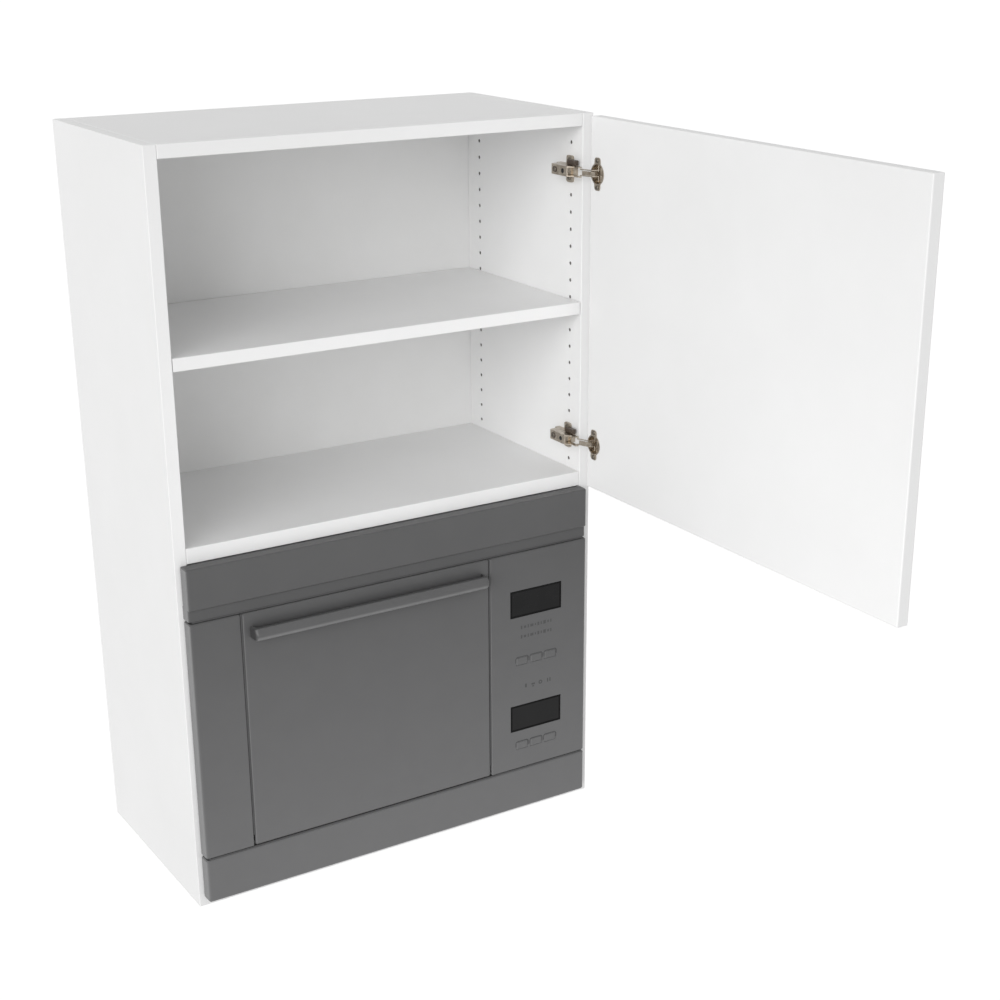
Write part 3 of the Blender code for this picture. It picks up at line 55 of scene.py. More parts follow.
# Sizes are in metres, and tones are levels of linear grey
RAW_EDGE_DEPTH = 0.0002
WINDING_PROUD = 0.014
LIP_HEIGHT = 0.014
STEP_BLEND = 0.002
PAINT_CLOUD_SCALE = 22.0
PAINT_CLOUD_DETAIL = 5.0
PAINT_GRAIN_SCALE = 1300.0
PAINT_DEEP_SHARE = 0.97
PAINT_LIGHT_SHARE = 1.03
# Painted light on the facia: a paler bottom and a deeper top for light from below, painted shade on the lip,
# and a painted highlight on the edges that face left
FACIA_PAINTED_LIGHT_BOTTOM_TONE = 0.150
FACIA_PAINTED_SHADE_TOP_TONE = 0.087
LIP_PAINTED_SHADE_TONE = 0.078
LEFT_EDGE_PAINTED_HIGHLIGHT_TONE = 0.212
HANDLE_FACE_TONES = (0.081, 0.089)
# Painted highlight on the handle's rounded underside, and painted shade on its left end
HANDLE_UNDERSIDE_HIGHLIGHT_TONES = (0.182, 0.195)
HANDLE_END_SHADE_TONES = (0.050, 0.056)
# Where a painted highlight or painted shade starts and is full, as one part of the surface's normal
FACIA_PAINTED_HIGHLIGHT_TURN = (-0.60, -1.0)
HANDLE_UNDERSIDE_HIGHLIGHT_TURN = (-0.05, -0.50)
HANDLE_END_SHADE_TURN = (-0.35, -0.85)
WINDOW_TONES = ((0.0045, 0.0045, 0.0048), (0.0065, 0.0065, 0.0068))


def new_material(name):
    made = bpy.data.materials.new(name)
    made.use_nodes = True
    return made, made.node_tree, made.node_tree.nodes["Principled BSDF"]


def add_node(tree, kind, settings=None, inputs=None):
    made = tree.nodes.new(kind)
    for key, value in (settings or {}).items():
        setattr(made, key, value)
    for key, value in (inputs or {}).items():
        made.inputs[key].default_value = value
    return made


def coordinates(tree, scale=(1, 1, 1)):
    source = add_node(tree, "ShaderNodeTexCoord")
    mapping = add_node(tree, "ShaderNodeMapping", inputs={"Scale": scale})
    tree.links.new(source.outputs["Object"], mapping.inputs["Vector"])
    return mapping.outputs["Vector"]


def noise(tree, vector, scale, detail=3.0, roughness=0.55):
    made = add_node(tree, "ShaderNodeTexNoise",
                    inputs={"Scale": scale, "Detail": detail, "Roughness": roughness})
    tree.links.new(vector, made.inputs["Vector"])
    return made.outputs["Fac"]


def ramp(tree, factor, stops):
    made = add_node(tree, "ShaderNodeValToRGB")
    elements = made.color_ramp.elements
    while len(elements) < len(stops):
        elements.new(0.5)
    for element, (place, colour) in zip(elements, stops):
        element.position = place
        element.color = (*colour, 1.0)
    tree.links.new(factor, made.inputs["Fac"])
    return made.outputs["Color"]


def two_tones(tree, factor, low, high):
    """Clouds between two colours."""
    return ramp(tree, factor, [(0.3, low), (0.7, high)])


def paint_cloud(tree, where):
    return noise(tree, where, PAINT_CLOUD_SCALE, PAINT_CLOUD_DETAIL)


def spread(tree, factor, low, high):
    made = add_node(tree, "ShaderNodeMapRange", inputs={"To Min": low, "To Max": high})
    tree.links.new(factor, made.inputs["Value"])
    return made.outputs["Result"]


def bump(tree, shader, height, strength, distance):
    made = add_node(tree, "ShaderNodeBump", inputs={"Strength": strength, "Distance": distance})
    tree.links.new(height, made.inputs["Height"])
    tree.links.new(made.outputs["Normal"], shader.inputs["Normal"])


def mix_colours(tree, factor, first, second):
    made = add_node(tree, "ShaderNodeMix", {"data_type": "RGBA"})
    tree.links.new(factor, made.inputs["Factor"])
    tree.links.new(first, made.inputs[6])
    tree.links.new(second, made.inputs[7])
    return made.outputs[2]


def along(tree, vector, axis, start, end):
    """Rises from 0 at start to 1 at end along one axis of the part."""
    parts = add_node(tree, "ShaderNodeSeparateXYZ")
    tree.links.new(vector, parts.inputs[0])
    made = add_node(tree, "ShaderNodeMapRange", inputs={"From Min": start, "From Max": end})
    tree.links.new(parts.outputs[axis], made.inputs["Value"])
    return made.outputs["Result"]


def chipboard_colour(tree, where):
    cells = add_node(tree, "ShaderNodeTexVoronoi", inputs={"Scale": 620.0})
    tree.links.new(where, cells.inputs["Vector"])
    return ramp(tree, cells.outputs["Color"], [
        (0.0, (0.26, 0.165, 0.085)), (0.35, (0.46, 0.33, 0.19)), (0.7, (0.58, 0.44, 0.27)),
        (1.0, (0.70, 0.56, 0.37))])


def melamine(name, raw_rear_edge):
    """White faced board. The edges against the wall show the bare chipboard where they are left raw."""
    made, tree, shader = new_material(name)
    where = coordinates(tree)
    cloud = noise(tree, where, 9.0, 4.0)
    colour = two_tones(tree, cloud, (0.838, 0.838, 0.836), (0.858, 0.858, 0.857))
    if raw_rear_edge:
        rear = along(tree, where, "Y", -RAW_EDGE_DEPTH * 2, -RAW_EDGE_DEPTH)
        colour = mix_colours(tree, rear, colour, chipboard_colour(tree, where))
    tree.links.new(colour, shader.inputs["Base Color"])
    grain = noise(tree, where, 1100.0, 2.0)
    tree.links.new(spread(tree, grain, 0.40, 0.50), shader.inputs["Roughness"])
    bump(tree, shader, grain, 0.10, 0.00012)
    shader.inputs["Specular IOR Level"].default_value = 0.42
    return made


def hardboard():
    made, tree, shader = new_material("white_faced_hardboard")
    where = coordinates(tree)
    cloud = noise(tree, where, 12.0, 4.0)
    face = two_tones(tree, cloud, (0.79, 0.79, 0.785), (0.815, 0.815, 0.812))
    fibres = noise(tree, coordinates(tree, (1.0, 1.0, 0.35)), 420.0, 6.0, 0.7)
    brown = ramp(tree, fibres, [(0.25, (0.14, 0.078, 0.040)), (0.55, (0.235, 0.135, 0.070)),
                                (0.8, (0.33, 0.205, 0.115))])
    rear_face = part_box("back_panel")[1].y
    rear = along(tree, where, "Y", rear_face - RAW_EDGE_DEPTH * 2, rear_face - RAW_EDGE_DEPTH)
    colour = mix_colours(tree, rear, face, brown)
    tree.links.new(colour, shader.inputs["Base Color"])
    tree.links.new(spread(tree, fibres, 0.46, 0.62), shader.inputs["Roughness"])
    bump(tree, shader, fibres, 0.12, 0.00015)
    return made


def nickel():
    made, tree, shader = new_material("nickel_plate")
    where = coordinates(tree)
    cloud = noise(tree, where, 160.0, 4.0)
    colour = ramp(tree, cloud, [(0.25, (0.35, 0.295, 0.235)), (0.5, (0.47, 0.415, 0.345)),
                                (0.8, (0.60, 0.54, 0.465))])
    tree.links.new(colour, shader.inputs["Base Color"])
    brushed = noise(tree, coordinates(tree, (1.0, 0.12, 1.0)), 1500.0, 3.0)
    tree.links.new(spread(tree, brushed, 0.20, 0.36), shader.inputs["Roughness"])
    bump(tree, shader, brushed, 0.08, 0.0001)
    shader.inputs["Metallic"].default_value = 1.0
    return made


def facing(tree, axis, start, end):
    """Rises from 0 to 1 as the surface turns, where one part of its normal goes from start to end."""
    normal = add_node(tree, "ShaderNodeNewGeometry")
    return along(tree, normal.outputs["Normal"], axis, start, end)


def finish_satin(tree, shader, where, roughness, specular, grain_scale):
    grain = noise(tree, where, grain_scale, 2.0)
    tree.links.new(spread(tree, grain, roughness - 0.05, roughness + 0.06), shader.inputs["Roughness"])
    bump(tree, shader, grain, 0.12, 0.0001)
    shader.inputs["Specular IOR Level"].default_value = specular


def satin_grey(name, low, high, roughness, specular, grain_scale=PAINT_GRAIN_SCALE):
    made, tree, shader = new_material(name)
    where = coordinates(tree)
    colour = two_tones(tree, paint_cloud(tree, where), low, high)
    tree.links.new(colour, shader.inputs["Base Color"])
    finish_satin(tree, shader, where, roughness, specular, grain_scale)
    return made


def grey(level):
    """A grey that leans to blue by a hair."""
    return (level, level, level * 1.012)


def facia_grey():
    """Satin paint with painted light: paler towards the bottom and deeper towards the top as painted light
    from below, painted shade under the band's step, and a painted highlight where it faces left.
    """
    made, tree, shader = new_material("facia_grey")
    where = coordinates(tree)
    bottom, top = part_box("mw_bottom_band")[0].z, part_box("mw_top_band")[1].z
    step = (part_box("mw_top_band")[0].z + LIP_HEIGHT - bottom) / (top - bottom)
    under = step - LIP_HEIGHT / (top - bottom) - STEP_BLEND
    height = along(tree, where, "Z", bottom, top)
    # Painted light from below, with painted shade on the lip under the band's step
    levels = [(0.0, FACIA_PAINTED_LIGHT_BOTTOM_TONE), (under, FACIA_PAINTED_SHADE_TOP_TONE), (under + STEP_BLEND, LIP_PAINTED_SHADE_TONE),
              (step - STEP_BLEND, LIP_PAINTED_SHADE_TONE), (step, FACIA_PAINTED_SHADE_TOP_TONE)]
    first, second = (
        ramp(tree, height, [(place, grey(level * share)) for place, level in levels])
        for share in (PAINT_DEEP_SHARE, PAINT_LIGHT_SHARE))
    cloud = paint_cloud(tree, where)
    front = mix_colours(tree, spread(tree, cloud, -0.5, 1.5), first, second)
    # Painted highlight on the faces turned to the left
    pale = two_tones(tree, cloud, grey(LEFT_EDGE_PAINTED_HIGHLIGHT_TONE * PAINT_DEEP_SHARE), grey(LEFT_EDGE_PAINTED_HIGHLIGHT_TONE * PAINT_LIGHT_SHARE))
    colour = mix_colours(tree, facing(tree, "X", *FACIA_PAINTED_HIGHLIGHT_TURN), front, pale)
    tree.links.new(colour, shader.inputs["Base Color"])
    finish_satin(tree, shader, where, 0.42, 0.35, PAINT_GRAIN_SCALE)
    return made


def handle_grey():
    """The same paint, with a painted highlight along the rounded underside and painted shade at its left end.
    """
    made, tree, shader = new_material("handle_grey")
    where = coordinates(tree)
    cloud = paint_cloud(tree, where)
    face, underside_highlight, end = (
        two_tones(tree, cloud, grey(low), grey(high))
        for low, high in (HANDLE_FACE_TONES, HANDLE_UNDERSIDE_HIGHLIGHT_TONES, HANDLE_END_SHADE_TONES))
    # Painted highlight where the grip turns down, then painted shade where it turns left
    colour = mix_colours(tree, facing(tree, "Z", *HANDLE_UNDERSIDE_HIGHLIGHT_TURN), face, underside_highlight)
    colour = mix_colours(tree, facing(tree, "X", *HANDLE_END_SHADE_TURN), colour, end)
    tree.links.new(colour, shader.inputs["Base Color"])
    finish_satin(tree, shader, where, 0.38, 0.40, PAINT_GRAIN_SCALE)
    return made


def galvanised():
    made, tree, shader = new_material("galvanised_sheet")
    where = coordinates(tree)
    spangle = add_node(tree, "ShaderNodeTexVoronoi", inputs={"Scale": 130.0, "Randomness": 1.0})
    tree.links.new(where, spangle.inputs["Vector"])
    colour = ramp(tree, spangle.outputs["Color"], [
        (0.0, (0.42, 0.43, 0.44)), (0.5, (0.50, 0.51, 0.52)), (1.0, (0.58, 0.59, 0.60))])
    tree.links.new(colour, shader.inputs["Base Color"])
    tree.links.new(spread(tree, spangle.outputs["Distance"], 0.30, 0.46), shader.inputs["Roughness"])
    bump(tree, shader, noise(tree, where, 800.0), 0.06, 0.0001)
    shader.inputs["Metallic"].default_value = 1.0
    return made


def enamel():
    made, tree, shader = new_material("light_enamel")
    where = coordinates(tree)
    specks = noise(tree, where, 520.0, 2.0)
    colour = ramp(tree, specks, [(0.30, (0.55, 0.55, 0.53)), (0.42, (0.66, 0.66, 0.64)),
                                 (0.75, (0.70, 0.70, 0.68))])
    tree.links.new(colour, shader.inputs["Base Color"])
    tree.links.new(spread(tree, noise(tree, where, 60.0), 0.22, 0.34), shader.inputs["Roughness"])
    bump(tree, shader, specks, 0.08, 0.0001)
    return made


def gloss_black(name, low, high, roughness, specular):
    made, tree, shader = new_material(name)
    where = coordinates(tree)
    colour = two_tones(tree, noise(tree, where, 40.0), low, high)
    tree.links.new(colour, shader.inputs["Base Color"])
    smears = noise(tree, where, 90.0, 5.0)
    tree.links.new(spread(tree, smears, roughness, roughness + 0.08), shader.inputs["Roughness"])
    shader.inputs["Specular IOR Level"].default_value = specular
    return made


def plate_glass():
    made, tree, shader = new_material("turntable_glass")
    where = coordinates(tree)
    ripple = noise(tree, where, 260.0, 2.0)
    colour = two_tones(tree, ripple, (0.90, 0.95, 0.93), (0.97, 0.99, 0.98))
    tree.links.new(colour, shader.inputs["Base Color"])
    tree.links.new(spread(tree, ripple, 0.04, 0.10), shader.inputs["Roughness"])
    bump(tree, shader, ripple, 0.12, 0.0002)
    shader.inputs["Transmission Weight"].default_value = 1.0
    shader.inputs["IOR"].default_value = 1.50
    return made


def screw_steel():
    """Dark zinc plate with fine turning marks."""
    made, tree, shader = new_material("screw_steel")
    where = coordinates(tree)
    cloud = noise(tree, where, 900.0, 3.0)
    colour = two_tones(tree, cloud, (0.17, 0.15, 0.125), (0.27, 0.245, 0.21))
    tree.links.new(colour, shader.inputs["Base Color"])
    tree.links.new(spread(tree, cloud, 0.30, 0.46), shader.inputs["Roughness"])
    shader.inputs["Metallic"].default_value = 1.0
    return made


def hole_lining():
    """Raw fibres inside a drilled hole, in a dark grey that also paints the hole's shade."""
    made, tree, shader = new_material("hole_lining")
    where = coordinates(tree)
    fibres = noise(tree, where, 900.0, 4.0)
    colour = two_tones(tree, fibres, (0.17, 0.165, 0.158), (0.24, 0.232, 0.222))
    tree.links.new(colour, shader.inputs["Base Color"])
    tree.links.new(spread(tree, fibres, 0.75, 0.90), shader.inputs["Roughness"])
    bump(tree, shader, fibres, 0.3, 0.0002)
    return made


def mica():
    made, tree, shader = new_material("pressed_mica")
    where = coordinates(tree)
    flakes = add_node(tree, "ShaderNodeTexVoronoi", inputs={"Scale": 260.0})
    tree.links.new(where, flakes.inputs["Vector"])
    colour = ramp(tree, flakes.outputs["Color"], [
        (0.0, (0.38, 0.34, 0.28)), (0.5, (0.50, 0.45, 0.38)), (1.0, (0.60, 0.55, 0.47))])
    tree.links.new(colour, shader.inputs["Base Color"])
    tree.links.new(spread(tree, flakes.outputs["Distance"], 0.35, 0.55), shader.inputs["Roughness"])
    bump(tree, shader, flakes.outputs["Distance"], 0.1, 0.0001)
    return made


def transformer_iron():
    """Varnished laminations across the core, and enamelled copper where the winding stands out of it."""
    made, tree, shader = new_material("transformer_iron")
    where = coordinates(tree)
    sheets = add_node(tree, "ShaderNodeTexWave", {"wave_type": "BANDS", "bands_direction": "Y"},
                      {"Scale": 320.0, "Distortion": 0.4})
    tree.links.new(where, sheets.inputs["Vector"])
    iron = ramp(tree, sheets.outputs["Fac"], [(0.2, (0.045, 0.038, 0.034)), (0.8, (0.115, 0.10, 0.09))])
    turns = add_node(tree, "ShaderNodeTexWave", {"wave_type": "BANDS", "bands_direction": "Z"},
                     {"Scale": 260.0, "Distortion": 0.6})
    tree.links.new(where, turns.inputs["Vector"])
    copper = ramp(tree, turns.outputs["Fac"], [(0.2, (0.22, 0.075, 0.03)), (0.8, (0.50, 0.20, 0.09))])
    low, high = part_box("mw_transformer")
    front = along(tree, where, "Y", low.y + WINDING_PROUD, low.y + WINDING_PROUD - RAW_EDGE_DEPTH)
    rear = along(tree, where, "Y", high.y - WINDING_PROUD, high.y - WINDING_PROUD + RAW_EDGE_DEPTH)
    outside = add_node(tree, "ShaderNodeMath", {"operation": "MAXIMUM"})
    tree.links.new(front, outside.inputs[0])
    tree.links.new(rear, outside.inputs[1])
    tree.links.new(mix_colours(tree, outside.outputs[0], iron, copper), shader.inputs["Base Color"])
    tree.links.new(spread(tree, sheets.outputs["Fac"], 0.35, 0.5), shader.inputs["Roughness"])
    bump(tree, shader, sheets.outputs["Fac"], 0.2, 0.0002)
    return made


BOARD = melamine("white_melamine", raw_rear_edge=True)
FACED_BOARD = melamine("white_melamine_all_round", raw_rear_edge=False)
BACK = hardboard()
NICKEL = nickel()
SCREW = screw_steel()
# Hole linings: raw board, deepened to a grey that paints the shade inside each hole
HOLE_LINING_SHADE = hole_lining()
MICA = mica()
IRON = transformer_iron()
FACIA = facia_grey()
SEAM = satin_grey("seam_gasket", grey(0.078), grey(0.088), 0.60, 0.20)
HANDLE = handle_grey()
DARK = satin_grey("dark_plastic", grey(0.030), grey(0.040), 0.50, 0.40, 900.0)
# Dark discs that paint the shade inside holes and recesses
HOLE_SHADE = satin_grey("painted_hole_shade", grey(0.018), grey(0.026), 0.60, 0.20)
# A dark brown tone on the height cams and the arms' keyhole slots: painted shade of the gap by the wing and
# of each slot
CAM = satin_grey("cam_and_slot_painted_shade", (0.050, 0.036, 0.026), (0.075, 0.056, 0.042), 0.35, 0.50, 900.0)
DISPLAY = gloss_black("display_window", *WINDOW_TONES, 0.10, 0.22)
STEEL = galvanised()
ENAMEL = enamel()
GLASS = plate_glass()
DISPLAY_UPPER = gloss_black("display_window_upper", *WINDOW_TONES, 0.10, 0.18)
WINDOW_EDGE = gloss_black("window_edge", grey(0.0125), grey(0.0150), 0.30, 0.0)
# Print on the control panel; in the arches over the keys the same grey is painted shade
PRINT_AND_KEY_SHADE = satin_grey("printed_mark_and_key_shade", grey(0.066), grey(0.074), 0.50, 0.30)

BY_SLOT = {
    "board": BOARD, "back_board": BACK, "hinge_metal": NICKEL, "facia": FACIA, "handle": HANDLE,
    "key": FACIA, "display": DISPLAY, "sheet_steel": STEEL, "enamel": ENAMEL, "dark_plastic": DARK,
    "turntable_glass": GLASS, "mica": MICA,
}
BY_NODE = {
    "cabinet_door": FACED_BOARD, "adjustable_shelf": FACED_BOARD, "hanging_rail_upper": FACED_BOARD,
    "hanging_rail_lower": FACED_BOARD, "mw_transformer": IRON, "mw_pivot_left": SEAM,
    "mw_pivot_right": SEAM, "mw_display_upper": DISPLAY_UPPER,
}


def dress_nodes():
    slots = {part["node"]: part["material_slot"] for part in frame["record"]["subparts"]}
    for name, thing in frame["nodes"].items():
        thing.data.materials.clear()
        thing.data.materials.append(BY_NODE.get(name, BY_SLOT[slots[name]]))


# Pieces: forms are written in the part's frame

def add_to_scene(name, data):
    made = bpy.data.objects.new(name, data)
    bpy.context.scene.collection.objects.link(made)
    return made


def add_piece(name, form, surface, body, smooth=False):
    bmesh.ops.recalc_face_normals(form, faces=form.faces)
    mesh = bpy.data.meshes.new(name)
    form.to_mesh(mesh)
    form.free()
    mesh.materials.append(surface)
    made = add_to_scene(name, mesh)
    if smooth:
        mesh.shade_smooth()
        mesh.set_sharp_from_angle(angle=SMOOTH_LIMIT)
    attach(made, body)
    return made


def put_block(form, low, high, edge):
    """A block with its edges rounded off."""
    low, high = Vector(low), Vector(high)
    size = Matrix.Diagonal((*(high - low), 1.0))
    place = Matrix.Translation((low + high) / 2) @ size
    corners = bmesh.ops.create_cube(form, size=1.0, matrix=place)["verts"]
    edges = {line for corner in corners for line in corner.link_edges}
    bmesh.ops.bevel(form, geom=list(edges), offset=edge, segments=2, affect="EDGES", profile=0.5)


def ring(form, turn, centre, radius, height, sides):
    """Points of a circle at a height along the way that the turn faces."""
    return [
        form.verts.new(centre + turn @ Vector((
            radius * math.cos(math.tau * step / sides), radius * math.sin(math.tau * step / sides), height)))
        for step in range(sides)
    ]


def join_rings(form, first, second):
    count = len(first)
    for step in range(count):
        after = (step + 1) % count
        form.faces.new((first[step], first[after], second[after], second[step]))


def join_all(form, rings):
    for first, second in zip(rings, rings[1:]):
        join_rings(form, first, second)


def arc(centre, radius, start, end, steps):
    """Points of an arc, as pairs."""
    turns = [start + (end - start) * step / steps for step in range(steps + 1)]
    return [(centre[0] + radius * math.cos(turn), centre[1] + radius * math.sin(turn)) for turn in turns]


def put_screw(form, centre, outward, radius, height):
    """A pan head with a cross recess, whose head points the given way."""
    turn = Vector(outward).to_track_quat("Z", "Y").to_matrix()
    centre = Vector(centre)
    levels = [(share * radius, rise * height) for share, rise in SCREW_PROFILE_SHARES]
    rings = [ring(form, turn, centre, reach, level, SCREW_SIDES) for reach, level in levels]
    join_all(form, rings)
    form.faces.new(list(reversed(rings[0])))
    half, reach = CROSS_HALF_SHARE * radius, CROSS_REACH_SHARE * radius
    outline = []
    for quarter in range(4):
        spin = Matrix.Rotation(quarter * math.pi / 2, 3, "Z")
        outline += [spin @ Vector(point) for point in ((half, half, 0), (half, reach, 0), (-half, reach, 0))]
    top = Vector((0, 0, height))
    floor = Vector((0, 0, height * CROSS_FLOOR_SHARE))
    rim = [form.verts.new(centre + turn @ (point + top)) for point in outline]
    sunk = [form.verts.new(centre + turn @ (point + floor)) for point in outline]
    join_rings(form, rim, sunk)
    form.faces.new(sunk)
    edges = [form.edges.get((a, b)) for a, b in zip(rim, rim[1:] + rim[:1])]
    last = rings[-1]
    edges += [form.edges.get((a, b)) for a, b in zip(last, last[1:] + last[:1])]
    bmesh.ops.triangle_fill(form, edges=edges, use_beauty=True)


# Sizes of the small pieces
SMOOTH_LIMIT = math.radians(32)
SCREW_SIDES = 18
SCREW_PROFILE_SHARES = ((1.0, 0.0), (1.0, 0.35), (0.93, 0.68), (0.80, 0.90), (0.62, 1.0))
CROSS_HALF_SHARE = 0.11
CROSS_REACH_SHARE = 0.48
CROSS_FLOOR_SHARE = 0.35
CONTACT = 0.00004
HOLE_RADIUS = 0.00226
HOLE_WALL = 0.00022
HOLE_SETBACK = 0.0003
HOLE_DEPTH = 0.0022
HOLE_SIDES = 12
HOLE_PITCH = 0.0222
HOLE_ROWS = 20
TOP_ROW_ABOVE_PLATE = 1.5
FRONT_ROW_INSET = 0.026
REAR_ROW_INSET = 0.254
SEAM_DEPTH = 0.0007
SEAM_THICKNESS = 0.004
SEAM_CLEARANCE = 0.0004
SEAM_EDGE = 0.0002
SEAM_END_INSET = 0.0045
LIP_SETBACK = 0.003
LIP_SEAM_DEPTH = 0.0004


def put_lining(form, centre, inward):
    """A thin cup inside a shelf hole, with its mouth towards the compartment."""
    turn = Vector((inward, 0, 0)).to_track_quat("Z", "Y").to_matrix()
    outer_floor, floor = -HOLE_DEPTH, -HOLE_DEPTH + HOLE_WALL
    inner = HOLE_RADIUS - HOLE_WALL
    rings = [
        ring(form, turn, centre, HOLE_RADIUS, outer_floor, HOLE_SIDES),
        ring(form, turn, centre, HOLE_RADIUS, -HOLE_SETBACK, HOLE_SIDES),
        ring(form, turn, centre, inner, -HOLE_SETBACK, HOLE_SIDES),
        ring(form, turn, centre, inner, floor, HOLE_SIDES),
    ]
    join_all(form, rings)
    form.faces.new(list(reversed(rings[0])))
    form.faces.new(rings[-1])


def make_hole_linings():
    """Linings for the holes that neither a shelf pin nor a mounting plate covers."""
    low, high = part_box("upper_hinge_mounting_plate")
    top_row = (low.z + high.z) / 2 + TOP_ROW_ABOVE_PLATE * HOLE_PITCH
    pins = [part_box(f"shelf_pin_left_{end}") for end in ("front", "rear")]
    plates = [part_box(f"{which}_hinge_mounting_plate") for which in ("upper", "lower")]
    for side, node, inward in (("left", "left_side_panel", 1), ("right", "right_side_panel", -1)):
        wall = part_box(node)[1 if inward > 0 else 0].x
        form = bmesh.new()
        for row in range(HOLE_ROWS):
            z = top_row - row * HOLE_PITCH
            for inset in (FRONT_ROW_INSET, REAR_ROW_INSET):
                y = inset + ORIGIN.y
                pinned = any(low.z - HOLE_RADIUS < z < high.z + HOLE_RADIUS for low, high in pins)
                covered = side == "right" and any(
                    low.z < z < high.z and low.y < y < high.y for low, high in plates)
                if not pinned and not covered:
                    put_lining(form, Vector((wall, y, z)), inward)
        add_piece(f"hole_linings_{side}", form, HOLE_LINING_SHADE, "cabinet", smooth=True)


def make_seam_gaskets():
    """Grey strips just inside the seams between the microwave's front pieces."""
    door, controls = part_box("mw_door_panel"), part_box("mw_control_panel")
    filler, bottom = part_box("mw_left_filler"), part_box("mw_bottom_band")
    top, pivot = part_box("mw_top_band"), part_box("mw_pivot_left")
    front = controls[0].y + SEAM_DEPTH
    rear = front + SEAM_THICKNESS
    under_lip = controls[0].y + LIP_SETBACK + LIP_SEAM_DEPTH
    left, right = filler[0].x + SEAM_END_INSET, controls[1].x - SEAM_END_INSET
    form = bmesh.new()
    rows = ((front, bottom[1].z, controls[0].z), (under_lip, controls[1].z, top[0].z))
    for start, low, high in rows:
        put_block(form, (left, start, low + SEAM_CLEARANCE), (right, rear, high - SEAM_CLEARANCE), SEAM_EDGE)
    for low, high in ((filler[1].x, door[0].x), (door[1].x, controls[0].x)):
        put_block(form, (low + SEAM_CLEARANCE, front, pivot[1].z + SEAM_CLEARANCE),
                  (high - SEAM_CLEARANCE, rear, controls[1].z), SEAM_EDGE)
    add_piece("seam_gaskets", form, SEAM, "cabinet")


# Hinge fittings
PLATE_SCREW_RADIUS = 0.0033
PLATE_SCREW_HEIGHT = 0.0016
WING_THICKNESS = 0.0025
NOSE_BACKSET = 0.0102
NOSE_RADIUS = 0.003
CUP_SCREW_RADIUS = 0.0029
CUP_SCREW_HEIGHT = 0.0012
CUP_SCREW_INSET = 0.0038
ARM_SCREW_RADIUS = 0.0029
ARM_SCREW_HEIGHT = 0.0013
ARM_SCREW_Y_SHARE = 0.78
ARM_RECESS_Y_SHARE = 0.375
ARM_RECESS_RADIUS = 0.0030
SLOT_HALF_LENGTH = 0.0052
SLOT_HALF_WIDTH = 0.0036
SLOT_THICKNESS = 0.0002
SLOT_ARC_STEPS = 8
LINK_PIN_RADIUS = 0.0011
LINK_PIN_HEIGHT = 0.0006
ARM_SHEET = 0.0012
ARM_WEB = 0.0014
LINK_ROOM = 0.0132
ARM_PLATE_SPARE = 0.0001
ARM_PLATE_THICKNESS = 0.0010
ARM_PLATE_EDGE = 0.0003
CAM_START = 0.0040
CAM_LENGTH = 0.0180
CAM_BACKSET = 0.0105
CAM_DEPTH = 0.0062
CAM_HEIGHT = 0.0065
CAM_EDGE = 0.0008


def make_screws():
    """The mounting plates' wing screws and the cups' flange screws."""
    for which in ("upper", "lower"):
        form = bmesh.new()
        low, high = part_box(f"{which}_hinge_mounting_plate")
        middle = (low.z + high.z) / 2
        wing_face = high.x - WING_THICKNESS
        for side in (-1, 1):
            centre = (wing_face - CONTACT, FRONT_ROW_INSET + ORIGIN.y, middle + side * HOLE_PITCH / 2)
            put_screw(form, centre, (-1, 0, 0), PLATE_SCREW_RADIUS, PLATE_SCREW_HEIGHT)
        low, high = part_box(f"{which}_hinge_arm")
        y = ORIGIN.y + ARM_SCREW_Y_SHARE * (high.y - ORIGIN.y)
        put_screw(form, (low.x - SLOT_THICKNESS, y, middle), (-1, 0, 0), ARM_SCREW_RADIUS, ARM_SCREW_HEIGHT)
        add_piece(f"{which}_hinge_screws", form, SCREW, "cabinet", smooth=True)
        form = bmesh.new()
        low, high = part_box(f"{which}_hinge_cup")
        for z in (low.z + CUP_SCREW_INSET, high.z - CUP_SCREW_INSET):
            put_screw(form, (low.x - CONTACT, (low.y + high.y) / 2, z), (-1, 0, 0),
                      CUP_SCREW_RADIUS, CUP_SCREW_HEIGHT)
        add_piece(f"{which}_cup_screws", form, SCREW, "cabinet_door", smooth=True)


def slot_outline(y, z, reach, radius):
    """A round hole drawn out by the reach to either side, as points along Y and Z."""
    steps = SLOT_ARC_STEPS + (1 if reach else 0)
    outline = []
    for side, start in ((1, -math.pi / 2), (-1, math.pi / 2)):
        for step in range(steps):
            angle = start + math.pi * step / SLOT_ARC_STEPS
            outline.append((y + side * reach + radius * math.cos(angle), z + radius * math.sin(angle)))
    return outline


def make_arm_slots():
    """On each arm, a dark plate under the fixing screw and a dark disc at the side screw, painted shade of
    the keyhole slot and of the screw's recess.
    """
    spots = (("slot", ARM_SCREW_Y_SHARE, SLOT_HALF_LENGTH - SLOT_HALF_WIDTH, SLOT_HALF_WIDTH, CAM),
             ("recess", ARM_RECESS_Y_SHARE, 0.0, ARM_RECESS_RADIUS, HOLE_SHADE))
    for which in ("upper", "lower"):
        low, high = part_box(f"{which}_hinge_arm")
        for kind, share, reach, radius, surface in spots:
            y = ORIGIN.y + share * (high.y - ORIGIN.y)
            outline = slot_outline(y, (low.z + high.z) / 2, reach, radius)
            form = bmesh.new()
            front = [form.verts.new((low.x - SLOT_THICKNESS, u, v)) for u, v in outline]
            rear = [form.verts.new((low.x - CONTACT, u, v)) for u, v in outline]
            join_rings(form, front, rear)
            form.faces.new(front)
            form.faces.new(list(reversed(rear)))
            add_piece(f"{which}_arm_{kind}", form, surface, "cabinet")


